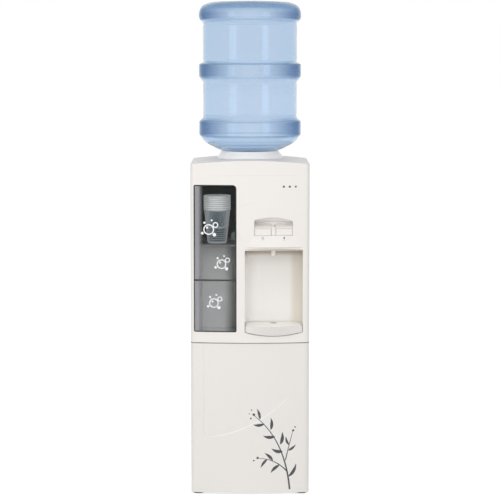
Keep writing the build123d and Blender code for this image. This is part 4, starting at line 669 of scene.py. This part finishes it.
class DISPENSER_OT_housing(bpy.types.Operator):
    """Lays the finishes on the outer housing: fronts, sides, cover, collar, alcove, tray and flaps"""

    bl_idname = "dispenser.housing"
    bl_label = "Housing finishes"

    def execute(self, context):
        c = colours()
        # painted light: the recess over the flaps is painted paler than the face; painted shade: a dark line
        # along the top edge of the lower front, in the joint under the upper front
        front = moulded("Front moulding", c.fascia, 0.34, depth=0.000012, coat=0.15)
        dressed(shaded(front, "Y", -0.1555, -0.1500, (0.99, 0.965, 0.94, 1.0), ("X", 0.0, 0.008),
                       ("X", 0.112, 0.105)), "upper_front")
        lower = moulded("Lower front moulding", c.lower, 0.34, depth=0.000012, coat=0.15)
        dressed(shaded(lower, "Z", 0.4008, 0.4020, (0.26, 0.25, 0.24, 1.0)), "lower_front")
        dressed(moulded("Painted side sheet", c.sides, 0.42, 0.01, 260.0, 0.00004),
                "left_side_panel", "right_side_panel")
        dressed(moulded("Top cover moulding", c.cover, 0.46, 0.012, 1800.0, 0.00003, dust=0.05), "top_cover")
        dressed(moulded("White small moulding", c.collar, 0.30, coat=0.2), "bottle_collar", "neck_guard")
        dressed(moulded("Tray and flap moulding", c.fascia, 0.30, coat=0.2),
                "hot_button", "cold_button", "spout")
        # painted shade: the walls of the drip plate's hole and the tray's floor under it are painted dark
        under_hole = (("X", 0.040, 0.044), ("X", 0.084, 0.080), ("Y", -0.122, -0.116))
        shade = (0.05, 0.05, 0.05, 1.0)
        # painted shade: the tray takes the lower front's colour made darker
        tray = moulded("Tray moulding", toned(c.lower, 0.94), 0.30, coat=0.2)
        dressed(shaded(tray, "Z", 0.4400, 0.4360, shade, *under_hole), "drip_tray")
        # painted light: the plate is paler than the front's moulding
        plate = moulded("Plate moulding", c.plate, 0.34, coat=0.1)
        dressed(shaded(plate, "Z", 0.4459, 0.4452, shade, *under_hole), "drip_plate")
        # painted light and shade in the alcove: its lining is paler than the front, its right wall is painted
        # a warm darker tone, and its top, under the visor, a warm painted shadow
        alcove = moulded("Alcove lining", c.alcove, 0.42, 0.01, depth=0.00002)
        alcove = shaded(alcove, "X", 0.100, 0.120, (0.80, 0.755, 0.675, 1.0))
        dressed(shaded(alcove, "Z", 0.620, 0.634, (0.56, 0.49, 0.42, 1.0)), "alcove_liner")
        # painted light and shade round the shelf under the cups: the niche's dark eases to a lighter painted
        # tone at its foot, and the storage bay is painted darker under the shelf and on its right
        niche = moulded("Cup niche lining", c.niche, 0.5, 0.03, depth=0.00003, specular=0.1)
        dressed(shaded(niche, "Z", 0.676, 0.661, (0.22, 0.22, 0.225, 1.0)), "cup_niche")
        storage = moulded("Storage bay lining", c.storage, 0.45, 0.02, depth=0.00003)
        storage = shaded(storage, "X", -0.072, -0.038, (0.20, 0.215, 0.195, 1.0))
        dressed(shaded(storage, "Z", 0.640, 0.659, (0.30, 0.30, 0.31, 1.0)), "storage_liner")
        dressed(moulded("Window frame moulding", (0.030, 0.031, 0.034, 1.0), 0.25, 0.03), "window_frame")
        dressed(moulded("Foot rubber", (0.020, 0.020, 0.021, 1.0), 0.75, 0.1, 500.0, 0.0001),
                "feet", "compressor_pads", "drain_plug")
        return {"FINISHED"}


class DISPENSER_OT_window(bpy.types.Operator):
    """Smoked doors with their half-round knob, and white bubble prints on them"""

    bl_idname = "dispenser.window"
    bl_label = "Smoked doors"

    def execute(self, context):
        # painted reflection: a paler, less clear band down the left of the doors
        painted_reflection = (-0.1180, -0.1370, (0.40, 0.40, 0.425, 1.0), 0.76)
        dressed(smoked_finish("Smoked clear door", colours().smoke, 0.10, painted_reflection), "cup_door", "bin_door")
        dressed(smoked_finish("Knob moulding", (0.10, 0.125, 0.12, 1.0), 0.80), "door_knob")
        white = moulded("White bubble print", (0.93, 0.94, 0.95, 1.0), 0.5, 0.01)
        # middle x and z and ring radius of each cluster
        clusters = {
            "cup_door": ("cup_door_body", [(-107.0, 700.0, 14.0), (-74.0, 610.0, 12.5)]),
            "bin_door": ("bin_door_body", [(-94.0, 508.0, 12.5)]),
        }
        # its bubbles: x and z from the middle, outer and inner radius, all as shares of the ring radius
        bubbles = [
            (0.0, 0.0, 1.0, 0.78), (-0.30, 0.34, 0.20, 0.0), (1.25, 0.85, 0.52, 0.34),
            (1.05, -0.95, 0.34, 0.0), (-1.20, -0.70, 0.26, 0.0), (-0.80, 1.25, 0.22, 0.0),
            (0.55, 1.70, 0.18, 0.0),
        ]
        for node, (body, places) in clusters.items():
            shapes = [print_ring(node, x + dx * r, z + dz * r, outer * r, inner * r)
                      for x, z, r in places for dx, dz, outer, inner in bubbles]
            placed(gathered(shapes), "bubble_print_" + node, body, white)
        return {"FINISHED"}


class DISPENSER_OT_bottle(bpy.types.Operator):
    """The upturned bottle: a rounded profile with three heavy rings, turned about its axis, with its wall"""

    bl_idname = "dispenser.bottle"
    bl_label = "Water bottle"

    def execute(self, context):
        s, c = sizes(), colours()
        ring, wall = s.bottle_ring / MM, s.bottle_wall / MM
        # radius and height of the profile's corners from the neck up, and how far each inner one is eased
        corners = np.array([
            (27.2, 828.2), (27.2, 882.0), (40.0, 889.0), (66.0, 893.4), (92.0, 903.5), (114.0, 914.5),
            (125.5, 924.0), (130.0, 933.0), (ring, 939.0), (ring, 974.5), (wall + 1.0, 984.0),
            (wall, 987.0), (wall - 1.2, 989.0), (wall, 991.0), (wall, 1074.0), (wall - 1.2, 1076.5),
            (wall + 0.6, 1080.0), (ring, 1094.0), (ring, 1126.0), (wall + 1.5, 1131.0), (wall - 1.2, 1134.0),
            (wall, 1137.0), (wall, 1228.0), (wall - 1.2, 1231.0), (wall, 1234.0), (wall + 1.5, 1238.0),
            (ring - 2.0, 1243.0), (ring, 1250.0), (ring, 1262.0), (130.0, 1279.0), (109.0, 1289.0),
            (50.0, 1293.2), (0.0, 1293.8),
        ])
        ease = np.array([
            9.0, 8.0, 6.0, 6.0, 8.0, 6.0, 6.0, 2.5, 2.5, 2.0, 1.2, 1.2, 1.2, 1.2, 1.2, 2.0, 3.0, 2.5, 2.0,
            1.4, 1.4, 1.4, 1.4, 1.4, 2.0, 3.0, 6.0, 8.0, 10.0, 9.0, 20.0,
        ])
        profile = walled(rounded(corners, ease, steps=5), s.bottle_skin / MM)
        finish = bottle_finish(c.bottle_face, c.bottle_edge, c.bottle_deep)
        bottle = placed(turned(profile, BOTTLE_AXIS, 160, wrap_profile=True), "water_bottle", "bottle_body",
                        finish, 50.0)
        mark_rings(bottle, s.bottle_wall, s.bottle_ring)
        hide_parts("bottle")
        return {"FINISHED"}


class DISPENSER_OT_cups(bpy.types.Operator):
    """The nested cups: one thin turned shell whose top is ribbed by the rims, on a tapered body"""

    bl_idname = "dispenser.cups"
    bl_label = "Nested cups"

    def execute(self, context):
        s = sizes()
        rim, foot = s.cup_rim / MM, s.cup_foot / MM
        taper = np.linspace(0.0, 1.0, 14)
        body = np.stack([foot + 1.5 + (rim - foot - 3.5) * taper, 664.0 + (746.0 - 664.0) * taper], -1)
        # the rims: half waves outward, one above the other
        t = np.linspace(0.0, 1.0, RIM_COUNT * 8 + 1)
        ribs = np.stack([rim - 1.6 + 1.6 * np.abs(np.sin(RIM_COUNT * np.pi * t)),
                         RIM_LOW + (RIM_HIGH - RIM_LOW) * t], -1)
        foot_line = [(0.0, CUP_FLOOR), (foot - 1.5, CUP_FLOOR), (foot, CUP_FLOOR + 1.0)]
        inner = [(rim - 3.0, RIM_HIGH), (rim - 4.2, 776.0), (foot + 1.0, 700.0), (0.0, 699.0)]
        shape = turned(np.vstack([foot_line, body, ribs, inner]), CUP_AXIS, 72)
        finish = cup_finish((0.985, 0.99, 0.985, 1.0), (0.42, 0.54, 0.62, 1.0))
        cups = placed(shape, "nested_cups", "cup_stack_body", finish, 60.0)
        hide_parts("cup_stack")
        return {"FINISHED"}


class DISPENSER_OT_sprig(bpy.types.Operator):
    """A plain printed sprig of leaves and berries on the lower front"""

    bl_idname = "dispenser.sprig"
    bl_label = "Printed sprig"

    def execute(self, context):
        rise = sizes().print_rise / MM
        ink = moulded("Dark print", colours().printed, 0.45, 0.05)
        node = "lower_front"
        # stems: start, pull and end, steps, half width at the start and at the end
        stems = [
            ((104.0, 14.0), (92.0, 150.0), (10.0, 212.0), 48, 2.3, 0.7),
            ((98.5, 60.0), (70.0, 96.0), (22.0, 98.0), 36, 1.6, 0.6),
            ((93.0, 92.0), (104.0, 140.0), (112.0, 168.0), 30, 1.4, 0.6),
        ]
        # leaves: start, pull, tip and half width
        leaves = [
            ((100.0, 48.0), (118.0, 60.0), (121.0, 84.0), 4.2),
            ((86.0, 116.0), (70.0, 112.0), (56.0, 124.0), 4.4),
            ((79.0, 134.0), (88.0, 150.0), (84.0, 168.0), 4.4),
            ((66.0, 156.0), (48.0, 150.0), (34.0, 158.0), 4.2),
            ((54.0, 173.0), (60.0, 190.0), (54.0, 206.0), 4.0),
            ((38.0, 190.0), (22.0, 182.0), (8.0, 188.0), 3.8),
            ((26.0, 201.0), (26.0, 216.0), (18.0, 230.0), 3.4),
            ((78.0, 80.0), (62.0, 72.0), (54.0, 58.0), 4.0),
            ((60.0, 91.0), (52.0, 104.0), (38.0, 112.0), 3.8),
            ((46.0, 96.0), (34.0, 86.0), (28.0, 72.0), 3.4),
            ((100.0, 118.0), (112.0, 122.0), (120.0, 134.0), 3.2),
            ((103.0, 132.0), (94.0, 142.0), (94.0, 156.0), 3.0),
        ]
        # berries: place and radius
        berries = [(10.0, 214.0, 3.4), (20.0, 99.0, 3.2), (113.0, 171.0, 3.0), (2.0, 204.0, 2.2),
                   (10.0, 92.0, 2.1), (118.0, 180.0, 2.0), (4.0, 226.0, 1.8), (-2.0, 216.0, 1.5)]
        shapes = [print_stroke(node, arc_line(*line, steps), np.linspace(first, last, steps), rise)
                  for *line, steps, first, last in stems]
        shapes += [print_stroke(node, arc_line(*line, 26), leaf_width(26, half, 0.8), rise)
                   for *line, half in leaves]
        shapes += [print_ring(node, x, z, r, rise=rise) for x, z, r in berries]
        placed(gathered(shapes), "printed_sprig", "cabinet", ink)
        return {"FINISHED"}


class DISPENSER_OT_marks(bpy.types.Operator):
    """Small printed marks: a ring under the left flap, a drop under the right one and a bar under each"""

    bl_idname = "dispenser.marks"
    bl_label = "Tap marks"

    def execute(self, context):
        rise = sizes().print_rise / MM
        node = "upper_front"
        bars = [print_stroke(node, arc_line((x - 3.4, z), (x, z - 0.2), (x + 3.4, z), 8),
                             np.full(8, 0.35), rise) for x, z in ((33.0, 674.2), (88.6, 673.4))]
        ring = print_ring(node, 33.0, 678.8, 2.6, 1.7, rise)
        drop = print_stroke(node, arc_line((88.6, 682.6), (88.6, 679.0), (88.6, 675.6), 24),
                            leaf_width(24, 2.3, 1.6), rise)
        placed(gathered([ring, bars[0], drop, bars[1]]), "tap_marks", "cabinet",
               moulded("Grey mark print", (0.16, 0.15, 0.15, 1.0), 0.5, 0.03))
        return {"FINISHED"}


class DISPENSER_OT_creases(bpy.types.Operator):
    """Painted light and shade on the mouldings: a painted highlight along the lower front's ledge, painted
    shade lines for the ledge's side, the upper front's soft crease and pad corner, a painted shadow in the
    two lines of the visor, and painted shade in the fold and side gaps of the push flaps"""

    bl_idname = "dispenser.creases"
    bl_label = "Painted light and shade lines"

    def execute(self, context):
        c = colours()
        rise = 0.5 * sizes().print_rise / MM
        lower, upper = "lower_front", "upper_front"
        # a share of the full half width that runs out at both ends
        thin = np.sin(np.pi * np.linspace(0.04, 0.96, 60)) ** 0.5

        # painted highlight: a pale stroke along the ledge's edge
        ledge = arc_line((-117.0, 151.5), (12.0, 166.0), (101.0, 262.0), 60)
        placed(print_stroke(lower, ledge, 1.1 * thin, rise), "ledge_painted_highlight", "cabinet",
               moulded("Ledge painted highlight", toned(c.lower, 1.17), 0.34))
        # painted shade: a darker stroke down the left side of the ledge
        side = arc_line((-121.0, 396.0), (-121.0, 270.0), (-121.0, 156.0), 30)
        placed(print_stroke(lower, side, np.full(30, 0.8), rise), "ledge_side_painted_shade", "cabinet",
               moulded("Ledge side painted shade", toned(c.lower, 0.95), 0.5))

        # painted shade: darker strokes for the upper front's brow crease and the pad's corner
        brow = arc_line((-108.0, 839.6), (0.0, 840.4), (128.0, 839.6), 60)
        pad = arc_line((-28.0, 755.0), (-20.0, 770.5), (26.0, 770.0), 60)
        shapes = [print_stroke(upper, brow, 0.8 * thin, rise), print_stroke(upper, pad, 0.9 * thin, rise)]
        placed(gathered(shapes), "upper_painted_crease_shade", "cabinet",
               moulded("Upper painted crease shade", toned(c.fascia, 0.93), 0.5))

        # painted shadow: two dark strokes along the visor's lip
        shapes = [print_stroke(upper, arc_line((-13.0, z), (60.0, z), (137.0, z), 60), half * thin, rise)
                  for z, half in ((653.0, 0.60), (647.6, 1.20))]
        placed(gathered(shapes), "visor_painted_shadow", "cabinet",
               moulded("Visor painted shadow line", (0.50, 0.43, 0.34, 1.0), 0.6, 0.02))

        # painted shade: dark strokes for the fold and the side gaps of each flap
        warm = moulded("Flap painted shade line", (0.40, 0.34, 0.27, 1.0), 0.6, 0.02)
        fold_z = 702.4
        for node, body, left, right in (("hot_button", "hot_button_body", 12.4, 54.6),
                                        ("cold_button", "cold_button_body", 67.4, 109.6)):
            fold = arc_line((left, fold_z), (0.5 * (left + right), fold_z), (right, fold_z), 24)
            shapes = [print_stroke(node, fold, np.full(24, 0.45), rise)]
            shapes += [print_stroke(node, arc_line((x, 686.0), (x, 694.0), (x, 702.0), 10),
                                    np.full(10, 0.42), rise) for x in (left, right)]
            placed(gathered(shapes), node + "_lines", body, warm)
        return {"FINISHED"}


class DISPENSER_OT_lenses(bpy.types.Operator):
    """Three small domed lenses: a low dome turned about the front's own normal"""

    bl_idname = "dispenser.lenses"
    bl_label = "Indicator lenses"

    def execute(self, context):
        unlit, pale = (0.055, 0.036, 0.034, 1.0), (0.21, 0.185, 0.18, 1.0)
        for node, tone in (("power_lens", unlit), ("hot_lens", unlit), ("cold_lens", pale)):
            low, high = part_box(node)
            x, z = 0.5 * (low.x + high.x) / MM, 0.5 * (low.z + high.z) / MM
            front = low.y / MM
            r = 0.5 * (high.x - low.x) / MM
            share = np.linspace(0.0, 0.5 * np.pi, 9)
            # radius and depth behind the front: a short rim, then the dome r cos s, 0.4 - 0.9 sin s
            profile = np.vstack([[(0.0, 2.0), (r, 2.0), (r, 0.4)],
                                 np.stack([r * np.cos(share), 0.4 - 0.9 * np.sin(share)], -1)[1:]])
            a = np.linspace(0.0, 2 * np.pi, 32, endpoint=False)[:, None]
            grid = np.stack([x + profile[:, 0] * np.cos(a), front + profile[:, 1] + 0 * a,
                             z + profile[:, 0] * np.sin(a)], -1)
            finish = moulded("Lens " + node, tone, 0.12, 0.05, depth=0.000005, coat=0.4)
            lens = placed(surface(grid, wrap_rows=True), node + "_dome", "cabinet", finish)
            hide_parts(node)
        return {"FINISHED"}


class DISPENSER_OT_condenser(bpy.types.Operator):
    """The condenser's tube: a circle carried down the rear in five eased passes, joined to the compressor"""

    bl_idname = "dispenser.condenser"
    bl_label = "Condenser coil"

    def execute(self, context):
        # the passes lie in one upright plane, from side to side
        y, left, right, riser = 169.15, -112.0, 112.0, -129.0
        corners = [
            (-76.0, 84.0, 96.0), (riser, 84.0, 96.0), (riser, y, 96.0), (riser, y, 800.0),
            (right, y, 800.0), (right, y, 732.0), (left, y, 732.0), (left, y, 664.0), (right, y, 664.0),
            (right, y, 596.0), (left, y, 596.0), (left, y, 528.0), (right, y, 528.0), (right, y, 190.0),
            (right, 118.0, 190.0), (right, 118.0, 150.3),
        ]
        enamel = moulded("Black enamel", (0.020, 0.020, 0.021, 1.0), 0.38, 0.1, 700.0, 0.00002, dust=0.5)
        coil = placed(tube(rounded(corners, 16.0, steps=9), sizes().coil_tube / MM, 14), "condenser_coil",
                      "cabinet", enamel, 50.0)
        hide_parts("condenser")
        dressed(enamel, "condenser_wires", "condenser_brackets")
        return {"FINISHED"}


class DISPENSER_OT_fasteners(bpy.types.Operator):
    """Screws of the rear panel: a low dome with a cross pressed into it"""

    bl_idname = "dispenser.fasteners"
    bl_label = "Rear screws"

    def execute(self, context):
        r = sizes().screw_head / MM
        ring = np.linspace(0.0, 1.0, 13)
        a = np.linspace(0.0, 2 * np.pi, 48, endpoint=False)[:, None]
        x, z = r * ring * np.cos(a), r * ring * np.sin(a)
        dome = 1.7 * (1 - 0.55 * ring**2) * (ring < 0.999)
        # the cross: near enough to one of its arms, and not past their ends
        arm = np.minimum(np.abs(x), np.abs(z))
        reach = np.maximum(np.abs(x), np.abs(z))
        cross = 0.8 * np.clip(1.6 - 4.0 * arm / (0.34 * r), 0, 1)
        cross *= np.clip((0.66 * r - reach) / (0.12 * r), 0, 1)
        height = dome - np.minimum(cross, dome)
        zinc = sheet_metal("Plated screw", (0.55, 0.55, 0.54, 1.0), 0.32, (200.0, 200.0, 200.0), 0.06)
        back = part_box("rear_panel")[1].y / MM
        shapes = []
        for px in (-146.0, 146.0):
            for pz in (232.0, 430.0, 628.0, 826.0):
                grid = np.stack([px + x, back + height + 0 * a, pz + z], -1)
                under = np.stack([px + 0 * a, back + 0 * a, pz + 0 * a], -1)
                shapes.append(surface(np.concatenate([grid, under], 1), wrap_rows=True))
        placed(gathered(shapes), "rear_screws", "cabinet", zinc, 30.0)
        return {"FINISHED"}


class DISPENSER_OT_inside(bpy.types.Operator):
    """Lays the finishes on the inner works: tanks, jackets, hoses, compressor, tubes, shelves and switches"""

    bl_idname = "dispenser.inside"
    bl_label = "Inner finishes"

    def execute(self, context):
        dressed(sheet_metal("Plated sheet", (0.52, 0.53, 0.54, 1.0), 0.42, (8.0, 8.0, 8.0), 0.12, 0.9, 0.25),
                "base_pan", "tank_shelf", "hot_shelf", "rear_panel")
        dressed(sheet_metal("Drawn tank steel", (0.60, 0.60, 0.61, 1.0), 0.30), "cold_tank", "hot_tank",
                "heater", "hot_spring", "cold_spring")
        dressed(sheet_metal("Copper tube", (0.72, 0.40, 0.26, 1.0), 0.35, (120.0, 120.0, 20.0), 0.12,
                            dust=0.2), "evaporator", "filter_drier")
        dressed(moulded("Compressor enamel", (0.018, 0.018, 0.019, 1.0), 0.35, 0.1, 420.0, 0.00006, dust=0.6),
                "compressor")
        dressed(foam_finish("Tank foam", (0.78, 0.77, 0.72, 1.0)), "cold_jacket", "hot_jacket")
        dressed(moulded("Natural moulding", (0.74, 0.74, 0.73, 1.0), 0.45, 0.02, 1200.0, 0.00002), "baffle",
                "feed_pipe", "hot_tap", "cold_tap", "hot_stem", "cold_stem")
        dressed(moulded("Lock moulding", (0.46, 0.42, 0.37, 1.0), 0.4, 0.02, 1200.0, 0.00002), "child_lock")
        dressed(moulded("Soft hose", (0.74, 0.74, 0.71, 1.0), 0.5, 0.03, 700.0, 0.00002, coat=0.1),
                "hot_hose", "cold_hose", "drain_pipe")
        dressed(moulded("Black moulding", (0.022, 0.022, 0.023, 1.0), 0.42, 0.08, 900.0, 0.00003),
                "switch_housings", "cord_gland", "hot_switch", "cold_switch")
        return {"FINISHED"}


class DISPENSER_PT_panel(bpy.types.Panel):
    bl_idname = "DISPENSER_PT_panel"
    bl_label = "Water dispenser"
    bl_space_type = "VIEW_3D"
    bl_region_type = "UI"
    bl_category = "Dispenser"

    def draw(self, context):
        for group in (context.scene.dispenser_sizes, context.scene.dispenser_colours):
            box = self.layout.box()
            for key in group.__annotations__:
                box.prop(group, key)
        for operator in PIECES:
            self.layout.operator(operator.bl_idname)


PIECES = (
    DISPENSER_OT_stage, DISPENSER_OT_housing, DISPENSER_OT_window, DISPENSER_OT_bottle, DISPENSER_OT_cups,
    DISPENSER_OT_sprig, DISPENSER_OT_marks, DISPENSER_OT_creases, DISPENSER_OT_lenses,
    DISPENSER_OT_condenser, DISPENSER_OT_fasteners, DISPENSER_OT_inside,
)
CLASSES = (DispenserSizes, DispenserColours) + PIECES + (DISPENSER_PT_panel,)


def register():
    for one in CLASSES:
        bpy.utils.register_class(one)
    bpy.types.Scene.dispenser_sizes = bpy.props.PointerProperty(type=DispenserSizes)
    bpy.types.Scene.dispenser_colours = bpy.props.PointerProperty(type=DispenserColours)


def unregister():
    del bpy.types.Scene.dispenser_colours
    del bpy.types.Scene.dispenser_sizes
    for one in reversed(CLASSES):
        bpy.utils.unregister_class(one)


def main():
    """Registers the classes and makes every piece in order."""
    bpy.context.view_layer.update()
    register()
    bpy.ops.dispenser.stage()
    bpy.ops.dispenser.housing()
    bpy.ops.dispenser.window()
    bpy.ops.dispenser.bottle()
    bpy.ops.dispenser.cups()
    bpy.ops.dispenser.sprig()
    bpy.ops.dispenser.marks()
    bpy.ops.dispenser.creases()
    bpy.ops.dispenser.lenses()
    bpy.ops.dispenser.condenser()
    bpy.ops.dispenser.fasteners()
    bpy.ops.dispenser.inside()


if __name__ == "__main__":
    main()
